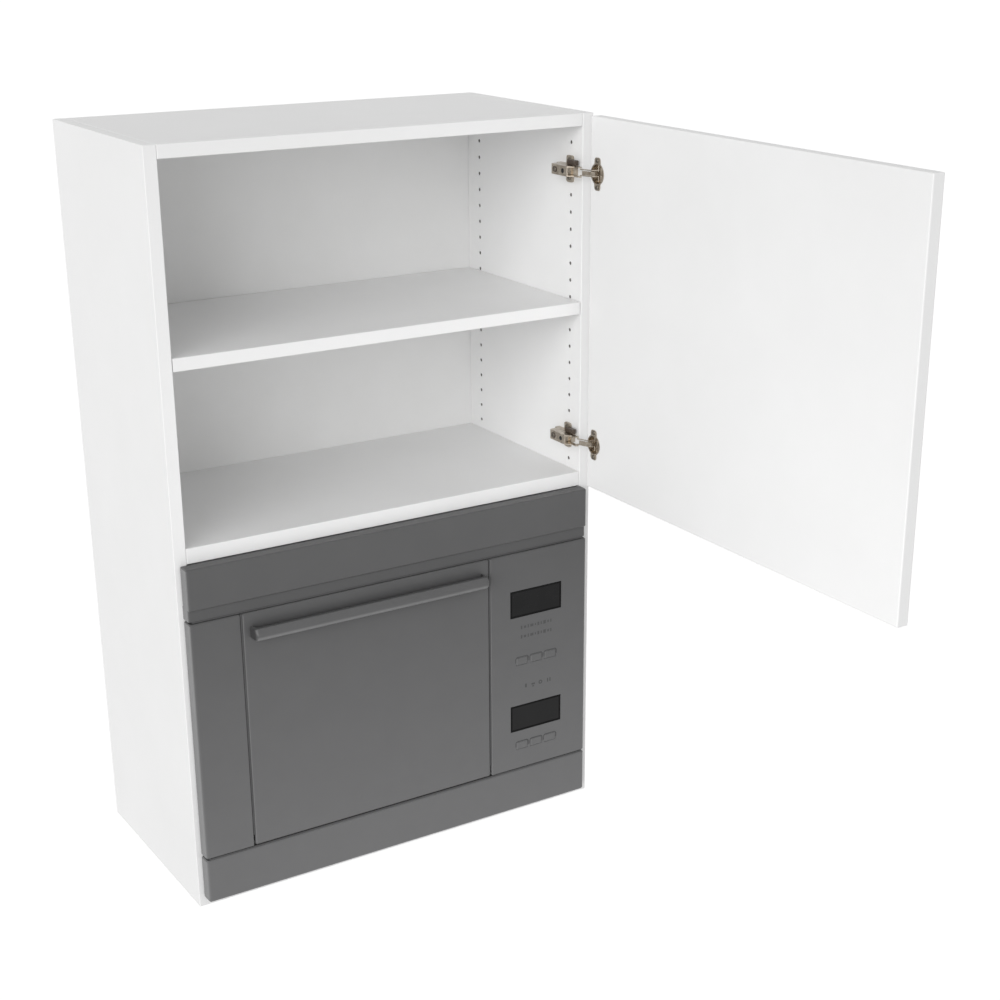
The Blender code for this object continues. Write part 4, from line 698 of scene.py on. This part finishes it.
def make_arm_details():
    """The plate that closes each arm behind the room its links need, and the cam that sets its height, whose
    dark tone also paints the shade of the gap between the wing and the arm.
    """
    for which in ("upper", "lower"):
        low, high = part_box(f"{which}_hinge_arm")
        middle = (low.z + high.z) / 2
        half = (high.z - low.z) / 2
        form = bmesh.new()
        inner = half - ARM_SHEET - ARM_PLATE_SPARE
        front = ORIGIN.y + LINK_ROOM
        put_block(form, (low.x + ARM_WEB + ARM_PLATE_SPARE, front, middle - inner),
                  (high.x - ARM_PLATE_SPARE, front + ARM_PLATE_THICKNESS, middle + inner), ARM_PLATE_EDGE)
        add_piece(f"{which}_arm_front_plate", form, NICKEL, "cabinet")
        form = bmesh.new()
        start = ORIGIN.y + CAM_START
        put_block(form, (low.x + CAM_BACKSET, start, middle + half + CONTACT),
                  (low.x + CAM_BACKSET + CAM_DEPTH, start + CAM_LENGTH, middle + half + CAM_HEIGHT), CAM_EDGE)
        add_piece(f"{which}_height_cam", form, CAM, "cabinet")


def make_link_pins():
    """Rivet heads on each arm's nose, where a real hinge has its link pins. No link is held there."""
    for which in ("upper", "lower"):
        low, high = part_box(f"{which}_hinge_arm")
        form = bmesh.new()
        for side, level in ((-1, low.z), (1, high.z)):
            centre = Vector((low.x + NOSE_BACKSET, low.y + NOSE_RADIUS, level + side * CONTACT))
            turn = Vector((0, 0, side)).to_track_quat("Z", "Y").to_matrix()
            rings = [
                ring(form, turn, centre, LINK_PIN_RADIUS, 0.0, SCREW_SIDES),
                ring(form, turn, centre, LINK_PIN_RADIUS, LINK_PIN_HEIGHT / 2, SCREW_SIDES),
                ring(form, turn, centre, LINK_PIN_RADIUS / 2, LINK_PIN_HEIGHT, SCREW_SIDES),
            ]
            join_all(form, rings)
            form.faces.new(list(reversed(rings[0])))
            form.faces.new(rings[-1])
        add_piece(f"{which}_nose_rivets", form, SCREW, "cabinet", smooth=True)


# Microwave fittings
MARK_THICKNESS = 0.00012
MARK_HEIGHT = 0.0050
MARK_EDGE = 0.00003
MARK_ROW_DROPS = (0.0158, 0.0296)
MARK_LEFT_SHARE = 0.20
MARK_BARS = ((0.030, 1.0), (0.045, 0.7), (0.022, 1.0), (0.060, 0.8), (0.022, 0.6), (0.034, 1.0),
             (0.022, 0.8), (0.050, 1.0), (0.030, 0.7), (0.022, 1.0))
MARK_SPACE_SHARE = 0.030
SIGN_RISE = 0.0275
SIGN_LEFT_SHARE = 0.30
SIGN_PITCH_SHARE = 0.145
SIGN_SIZE = 0.0056
SIGN_SIDES = 14
# Each bar of a sign: its place in the row in pitches, then its shift right and up, width and height in sizes
SIGN_BARS = ((0, 0.0, 0.0, 0.5, 1.0), (1, 0.0, 0.0, 1.0, 0.45), (1, 0.0, -0.6, 0.5, 0.35),
             (3, 0.0, 0.0, 0.35, 1.0), (3, 0.7, 0.0, 0.35, 1.0))
ROUND_SIGN_PLACE = 2
ROUND_SIGN_SHARES = (0.55, 0.25)
ARCH_WIDTH = 0.0013
ARCH_SPACE = 0.0007
ARCH_FOOT_SHARE = 0.35
ARCH_RADIUS = 0.0042
ARCH_STEPS = 5
WINDOW_EDGE_WIDTH = 0.0026
HANDLE_NOSE_RADIUS = 0.008
HANDLE_TOP_RADIUS = 0.0016
HANDLE_END_RADIUS = 0.0056
HANDLE_END_TAPER = 0.45
HANDLE_LEAN = math.radians(30)
HANDLE_STEPS = 7
SCOOP_DEPTH = 0.0105
SCOOP_RADIUS = 0.0065
SCOOP_END_WALL = 0.0032
SCOOP_FLOOR = 0.003
SCOOP_OVERRUN = 0.003
GRILLE_ROWS = 6
GRILLE_COLUMNS = 8
GRILLE_PITCH = 0.0055
GRILLE_DOT = 0.0016
GRILLE_PLATE = 0.0007
GRILLE_EDGE = 0.0003
GRILLE_DROP = 0.030
GRILLE_FROM_FRONT = 0.070
GRILLE_DOT_SIDES = 10
GRILLE_DOT_TOP_SHARE = 0.8
GRILLE_DOT_RISE = 3 * CONTACT
CAVITY_FLANGE = 0.011
CAVITY_SHEET = 0.001
VENT_ROWS = 7
VENT_WIDTH = 0.060
VENT_HEIGHT = 0.004
VENT_PITCH = 0.010
VENT_FROM_LEFT = 0.125
VENT_TOP_DROP = 0.060
LOUVRE_DEPTH = 0.0026
LOUVRE_SHEET = 0.0006
LOUVRE_RISE = 0.0008
CASE_SCREW_RADIUS = 0.0036
CASE_SCREW_HEIGHT = 0.0018
CASE_SCREW_INSET = 0.012


def put_bar(form, face, middle, width, height):
    """A thin printed bar on the control panel's face."""
    x, z = middle
    put_block(form, (x - width / 2, face - MARK_THICKNESS, z - height / 2),
              (x + width / 2, face - CONTACT, z + height / 2), MARK_EDGE)


def put_outline(form, face, outer, inner):
    """A thin printed loop between two outlines with as many points."""
    foot, top = face - CONTACT, face - MARK_THICKNESS
    loops = [[form.verts.new((x, level, z)) for x, z in line]
             for line, level in ((outer, foot), (outer, top), (inner, top), (inner, foot))]
    for first, second in zip(loops, loops[1:] + loops[:1]):
        join_rings(form, first, second)


def make_panel_marks():
    """Two rows of plain bars under the upper window, and a row of plain signs over the lower one."""
    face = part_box("mw_control_panel")[0].y
    low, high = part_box("mw_display_upper")
    width = high.x - low.x
    form = bmesh.new()
    for drop in MARK_ROW_DROPS:
        x = low.x + MARK_LEFT_SHARE * width
        for share, tall in MARK_BARS:
            length = share * width
            put_bar(form, face, (x + length / 2, low.z - drop), length, tall * MARK_HEIGHT)
            x += length + MARK_SPACE_SHARE * width
    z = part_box("mw_display_lower")[1].z + SIGN_RISE
    x = low.x + SIGN_LEFT_SHARE * width
    pitch = SIGN_PITCH_SHARE * width
    for place, right, up, wide, tall in SIGN_BARS:
        middle = (x + pitch * place + right * SIGN_SIZE, z + up * SIGN_SIZE)
        put_bar(form, face, middle, wide * SIGN_SIZE, tall * SIGN_SIZE)
    centre = (x + pitch * ROUND_SIGN_PLACE, z)
    loops = [arc(centre, share * SIGN_SIZE, 0.0, math.tau, SIGN_SIDES)[:-1] for share in ROUND_SIGN_SHARES]
    put_outline(form, face, *loops)
    add_piece("panel_marks", form, PRINT_AND_KEY_SHADE, "cabinet")


def arch_line(low, high, spare, radius):
    """An arch round a key, from its left foot over the top to its right foot."""
    foot = low.z + ARCH_FOOT_SHARE * (high.z - low.z)
    left, right, top = low.x - spare, high.x + spare, high.z + spare
    return [
        (left, foot),
        *arc((left + radius, top - radius), radius, math.pi, math.pi / 2, ARCH_STEPS),
        *arc((right - radius, top - radius), radius, math.pi / 2, 0.0, ARCH_STEPS),
        (right, foot),
    ]


def put_band(form, face, outer, inner):
    """A thin band between two open lines with as many points."""
    outline = outer + list(reversed(inner))
    front = [form.verts.new((x, face - MARK_THICKNESS, z)) for x, z in outline]
    rear = [form.verts.new((x, face - CONTACT, z)) for x, z in outline]
    join_rings(form, front, rear)
    last = len(outline) - 1
    for side in (front, rear):
        for step in range(len(outer) - 1):
            form.faces.new((side[step], side[step + 1], side[last - step - 1], side[last - step]))


def make_key_gap_shades():
    """A soft dark arch over each key, open below: painted shade of the gap round the key's top and sides."""
    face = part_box("mw_control_panel")[0].y
    form = bmesh.new()
    for row in ("upper", "lower"):
        for column in (1, 2, 3):
            low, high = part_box(f"mw_key_{row}_{column}")
            put_band(form, face, arch_line(low, high, ARCH_SPACE + ARCH_WIDTH, ARCH_RADIUS),
                     arch_line(low, high, ARCH_SPACE, ARCH_RADIUS - ARCH_WIDTH))
    add_piece("key_gap_shades", form, PRINT_AND_KEY_SHADE, "cabinet")


def make_window_edges():
    """A dark line round the inside of each display window."""
    form = bmesh.new()
    for which in ("upper", "lower"):
        low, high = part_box(f"mw_display_{which}")
        loops = []
        for inset in (CONTACT, WINDOW_EDGE_WIDTH):
            loops.append([(low.x + inset, low.z + inset), (high.x - inset, low.z + inset),
                          (high.x - inset, high.z - inset), (low.x + inset, high.z - inset)])
        put_outline(form, low.y, *loops)
    add_piece("window_edges", form, WINDOW_EDGE, "cabinet")


def handle_section(low, high):
    """The grip's outline across its length: a flat top, a front that leans out and a round nose below."""
    nose = (low.y + HANDLE_NOSE_RADIUS, low.z + HANDLE_NOSE_RADIUS)
    lean = math.pi - HANDLE_LEAN
    meets = (nose[0] + HANDLE_NOSE_RADIUS * math.cos(lean), nose[1] + HANDLE_NOSE_RADIUS * math.sin(lean))
    level = high.z - HANDLE_TOP_RADIUS
    back = (HANDLE_TOP_RADIUS + math.sin(lean) * (level - meets[1])) / -math.cos(lean)
    return [
        (high.y, high.z),
        *arc((meets[0] + back, level), HANDLE_TOP_RADIUS, math.pi / 2, lean, HANDLE_STEPS),
        *arc(nose, HANDLE_NOSE_RADIUS, lean, 1.5 * math.pi, HANDLE_STEPS * 2),
        (high.y, low.z),
    ]


def handle_form(low, high):
    """The section carried from end to end, drawn in and made lower where the ends are rounded."""
    section = handle_section(low, high)
    depth, half, middle = high.y - low.y, (high.z - low.z) / 2, (high.z + low.z) / 2
    turns = [math.pi / 2 * step / HANDLE_STEPS for step in range(HANDLE_STEPS + 1)]
    ends = [(HANDLE_END_RADIUS * (1 - math.cos(turn)), HANDLE_END_RADIUS * (1 - math.sin(turn)))
            for turn in turns]
    stations = [(low.x + inward, inset) for inward, inset in ends]
    stations += [(high.x - inward, inset) for inward, inset in reversed(ends)]
    form = bmesh.new()
    loops = []
    for x, inset in stations:
        deep, tall = 1 - inset / depth, 1 - HANDLE_END_TAPER * inset / half
        loops.append([form.verts.new((x, high.y + (y - high.y) * deep, middle + (z - middle) * tall))
                      for y, z in section])
    join_all(form, loops)
    form.faces.new(loops[0])
    form.faces.new(list(reversed(loops[-1])))
    return form


def scoop_cutter(low, high):
    """What the fingers' scoop takes away. It runs past the grip's top and its back."""
    left, right, front = low.x + SCOOP_END_WALL, high.x - SCOOP_END_WALL, high.y - SCOOP_DEPTH
    radius, corner = SCOOP_RADIUS, 1.5 * math.pi
    line = [
        *arc((left + radius, front + radius), radius, math.pi, corner, HANDLE_STEPS),
        *arc((right - radius, front + radius), radius, corner, math.tau, HANDLE_STEPS),
        (right, high.y + SCOOP_DEPTH),
        (left, high.y + SCOOP_DEPTH),
    ]
    form = bmesh.new()
    levels = [[form.verts.new((x, y, z)) for x, y in line]
              for z in (low.z + SCOOP_FLOOR, high.z + SCOOP_OVERRUN)]
    join_rings(form, *levels)
    form.faces.new(levels[0])
    form.faces.new(list(reversed(levels[1])))
    bmesh.ops.recalc_face_normals(form, faces=form.faces)
    return form


def make_handle():
    """A grip that leans out from the door, rounded at both ends, with a scoop for the fingers above."""
    low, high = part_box("mw_door_handle")
    grip = add_piece("oven_door_handle", handle_form(low, high), HANDLE, "mw_door", smooth=True)
    cut_from(grip, scoop_cutter(low, high))
    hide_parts("mw_door_handle")


def cut_from(thing, cutter):
    """Takes the cutter's form out of a piece for good."""
    mesh = bpy.data.meshes.new("cutter")
    cutter.to_mesh(mesh)
    cutter.free()
    tool = add_to_scene("cutter", mesh)
    change = thing.modifiers.new("scoop", "BOOLEAN")
    change.operation = "DIFFERENCE"
    change.solver = "EXACT"
    change.object = tool
    seen = thing.evaluated_get(bpy.context.evaluated_depsgraph_get())
    result = bpy.data.meshes.new_from_object(seen)
    thing.modifiers.clear()
    thing.data = result
    result.shade_smooth()
    result.set_sharp_from_angle(angle=SMOOTH_LIMIT)
    bpy.data.objects.remove(tool)
    bpy.data.meshes.remove(mesh)


def make_lamp_grille():
    """A pressed plate with rows of dark discs that paint the shade of its perforations, high on the cavity's
    left wall.
    """
    low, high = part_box("mw_cavity")
    wall = low.x + CAVITY_FLANGE + CAVITY_SHEET
    top = high.z - 2 * CAVITY_SHEET - GRILLE_DROP
    start = low.y + GRILLE_FROM_FRONT
    plate = bmesh.new()
    end = start + GRILLE_COLUMNS * GRILLE_PITCH
    bottom = top - GRILLE_ROWS * GRILLE_PITCH
    put_block(plate, (wall + CONTACT, start, bottom), (wall + GRILLE_PLATE, end, top), GRILLE_EDGE)
    add_piece("lamp_grille", plate, ENAMEL, "cabinet")
    dots = bmesh.new()
    turn = Vector((1, 0, 0)).to_track_quat("Z", "Y").to_matrix()
    for row in range(GRILLE_ROWS):
        for column in range(GRILLE_COLUMNS):
            centre = Vector((wall + GRILLE_PLATE, start + (column + 0.5) * GRILLE_PITCH,
                             bottom + (row + 0.5) * GRILLE_PITCH))
            lower = ring(dots, turn, centre, GRILLE_DOT, CONTACT, GRILLE_DOT_SIDES)
            upper = ring(dots, turn, centre, GRILLE_DOT * GRILLE_DOT_TOP_SHARE, GRILLE_DOT_RISE,
                         GRILLE_DOT_SIDES)
            join_rings(dots, lower, upper)
            dots.faces.new(upper)
            dots.faces.new(list(reversed(lower)))
    add_piece("lamp_perforations", dots, HOLE_SHADE, "cabinet")


def vent_places():
    """Middle and lower edge of each vent: one block by the left, one behind the fan."""
    low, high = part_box("mw_case_wrap")
    fan_low, fan_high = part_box("mw_fan_frame")
    for middle in (low.x + VENT_FROM_LEFT + VENT_WIDTH / 2, (fan_low.x + fan_high.x) / 2):
        for row in range(VENT_ROWS):
            yield middle, high.z - VENT_TOP_DROP - row * VENT_PITCH


def make_louvres():
    """A bent hood over each vent of the rear panel."""
    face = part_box("mw_rear_panel")[1].y
    form = bmesh.new()
    for middle, bottom in vent_places():
        left, right = middle - VENT_WIDTH / 2, middle + VENT_WIDTH / 2
        top = bottom + VENT_HEIGHT + LOUVRE_RISE
        section = [
            (face + CONTACT, top), (face + CONTACT, top - LOUVRE_SHEET),
            (face + LOUVRE_DEPTH - LOUVRE_SHEET, bottom), (face + LOUVRE_DEPTH, bottom),
            (face + LOUVRE_DEPTH, bottom + LOUVRE_SHEET), (face + LOUVRE_SHEET, top),
        ]
        near = [form.verts.new((left, u, v)) for u, v in section]
        far = [form.verts.new((right, u, v)) for u, v in section]
        join_rings(form, near, far)
        form.faces.new(near)
        form.faces.new(list(reversed(far)))
    add_piece("rear_louvres", form, STEEL, "cabinet", smooth=True)


def make_case_screws():
    """Pan screws round the edge of the rear panel."""
    low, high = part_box("mw_rear_panel")
    form = bmesh.new()
    left, right = low.x + CASE_SCREW_INSET, high.x - CASE_SCREW_INSET
    bottom, top = low.z + CASE_SCREW_INSET, high.z - CASE_SCREW_INSET
    centre = ((left + right) / 2, (bottom + top) / 2)
    for z in (bottom, centre[1], top):
        for x in (left, centre[0], right):
            if (x, z) != centre:
                put_screw(form, (x, high.y + CONTACT, z), (0, 1, 0), CASE_SCREW_RADIUS, CASE_SCREW_HEIGHT)
    add_piece("case_screws", form, SCREW, "cabinet", smooth=True)


# Floor, light and camera
FLOOR_HALF = 400.0
FLOOR_DROP = 1.40
FLOOR_TONE = 0.80
FLOOR_GLOW = 0.50
SKY_LIGHT = 0.535
SKY_SEEN = 1.0
WINDOW_ENERGY = 2.18
WINDOW_ANGLE = math.radians(50)
WINDOW_TOWARDS = Vector((-0.773, -0.600, 0.206)).normalized()
WINDOW_DISTANCE = 4.0
FILL_ENERGY = 0.80
FILL_SIZE = 0.6
FILL_PLACE = Vector((-0.25, -0.90, -0.50))
FILL_AIM = Vector((0.30, -0.50, -0.40))
# The camera, as fitted to the carcass corners in the photo
CAMERA_PLACE = Vector((-1.00414, -2.17502, 0.30446))
CAMERA_RIGHT = Vector((0.841332, -0.540519, 0.000063))
CAMERA_UP = Vector((0.192330, 0.299475, 0.934518))
CAMERA_BACK = Vector((-0.505144, -0.786228, 0.355916))
CAMERA_LENS = 63.216
CAMERA_SENSOR_WIDTH = 36.0
CAMERA_SHIFT = (-0.02747, 0.07121)
CAMERA_CLIP_END = 1000.0


def seen_or_mirrored(tree):
    """1 for rays from the camera and for those that go on from a mirror or through glass, 0 for the rest."""
    path = add_node(tree, "ShaderNodeLightPath")
    level = path.outputs["Is Camera Ray"]
    for kind in ("Is Glossy Ray", "Is Transmission Ray"):
        either = add_node(tree, "ShaderNodeMath", {"operation": "MAXIMUM"})
        tree.links.new(level, either.inputs[0])
        tree.links.new(path.outputs[kind], either.inputs[1])
        level = either.outputs[0]
    return level


def floor_material():
    """Pale paint, with a glow that only the camera, mirrors and glass see."""
    made = bpy.data.materials.new("pale_floor")
    made.use_nodes = True
    tree = made.node_tree
    tree.nodes.clear()
    tone = (FLOOR_TONE, FLOOR_TONE, FLOOR_TONE, 1.0)
    plain = add_node(tree, "ShaderNodeBsdfDiffuse", inputs={"Color": tone})
    glow = add_node(tree, "ShaderNodeEmission", inputs={"Strength": FLOOR_GLOW})
    lit = add_node(tree, "ShaderNodeAddShader")
    tree.links.new(plain.outputs[0], lit.inputs[0])
    tree.links.new(glow.outputs[0], lit.inputs[1])
    chosen = add_node(tree, "ShaderNodeMixShader")
    tree.links.new(seen_or_mirrored(tree), chosen.inputs[0])
    tree.links.new(plain.outputs[0], chosen.inputs[1])
    tree.links.new(lit.outputs[0], chosen.inputs[2])
    out = add_node(tree, "ShaderNodeOutputMaterial")
    tree.links.new(chosen.outputs[0], out.inputs[0])
    return made


def make_floor():
    mesh = bpy.data.meshes.new("floor")
    level = ORIGIN.z - FLOOR_DROP
    corners = [(x * FLOOR_HALF, y * FLOOR_HALF, level) for x, y in ((-1, -1), (1, -1), (1, 1), (-1, 1))]
    mesh.from_pydata(corners, [], [(0, 1, 2, 3)])
    mesh.materials.append(floor_material())
    floor = add_to_scene("floor", mesh)


def make_world():
    """White where it is seen, and weaker as a light."""
    world = bpy.data.worlds.new("studio")
    world.use_nodes = True
    tree = world.node_tree
    tree.nodes.clear()
    sky = add_node(tree, "ShaderNodeBackground", inputs={"Color": (1.0, 1.0, 1.0, 1.0)})
    strength = spread(tree, seen_or_mirrored(tree), SKY_LIGHT, SKY_SEEN)
    tree.links.new(strength, sky.inputs["Strength"])
    out = add_node(tree, "ShaderNodeOutputWorld")
    tree.links.new(sky.outputs[0], out.inputs[0])
    bpy.context.scene.world = world


def make_sun():
    """Broad daylight from the left and the front."""
    light = bpy.data.lights.new("window_light", "SUN")
    light.energy = WINDOW_ENERGY
    light.angle = WINDOW_ANGLE
    thing = add_to_scene("window_light", light)
    thing.rotation_euler = WINDOW_TOWARDS.to_track_quat("Z", "Y").to_euler()
    thing.location = WINDOW_TOWARDS * WINDOW_DISTANCE


def make_fill():
    """A weak panel of light in front, for the open door's inner face and the edges that face forward."""
    light = bpy.data.lights.new("fill_light", "AREA")
    light.energy = FILL_ENERGY
    light.size = FILL_SIZE
    thing = add_to_scene("fill_light", light)
    thing.location = FILL_PLACE
    thing.rotation_euler = (FILL_PLACE - FILL_AIM).to_track_quat("Z", "Y").to_euler()
    thing.visible_camera = False
    thing.visible_glossy = False


def make_camera():
    lens = bpy.data.cameras.new("camera")
    lens.lens = CAMERA_LENS
    lens.sensor_width = CAMERA_SENSOR_WIDTH
    lens.shift_x, lens.shift_y = CAMERA_SHIFT
    lens.clip_end = CAMERA_CLIP_END
    thing = add_to_scene("camera", lens)
    turn = Matrix((CAMERA_RIGHT, CAMERA_UP, CAMERA_BACK)).transposed().to_4x4()
    thing.matrix_world = Matrix.Translation(CAMERA_PLACE) @ turn
    bpy.context.scene.camera = thing


dress_nodes()
make_hole_linings()
make_seam_gaskets()
make_screws()
make_link_pins()
make_arm_slots()
make_arm_details()
make_handle()
make_panel_marks()
make_key_gap_shades()
make_window_edges()
make_lamp_grille()
make_louvres()
make_case_screws()
make_floor()
make_world()
make_sun()
make_fill()
make_camera()
bpy.context.scene.view_settings.view_transform = "Standard"
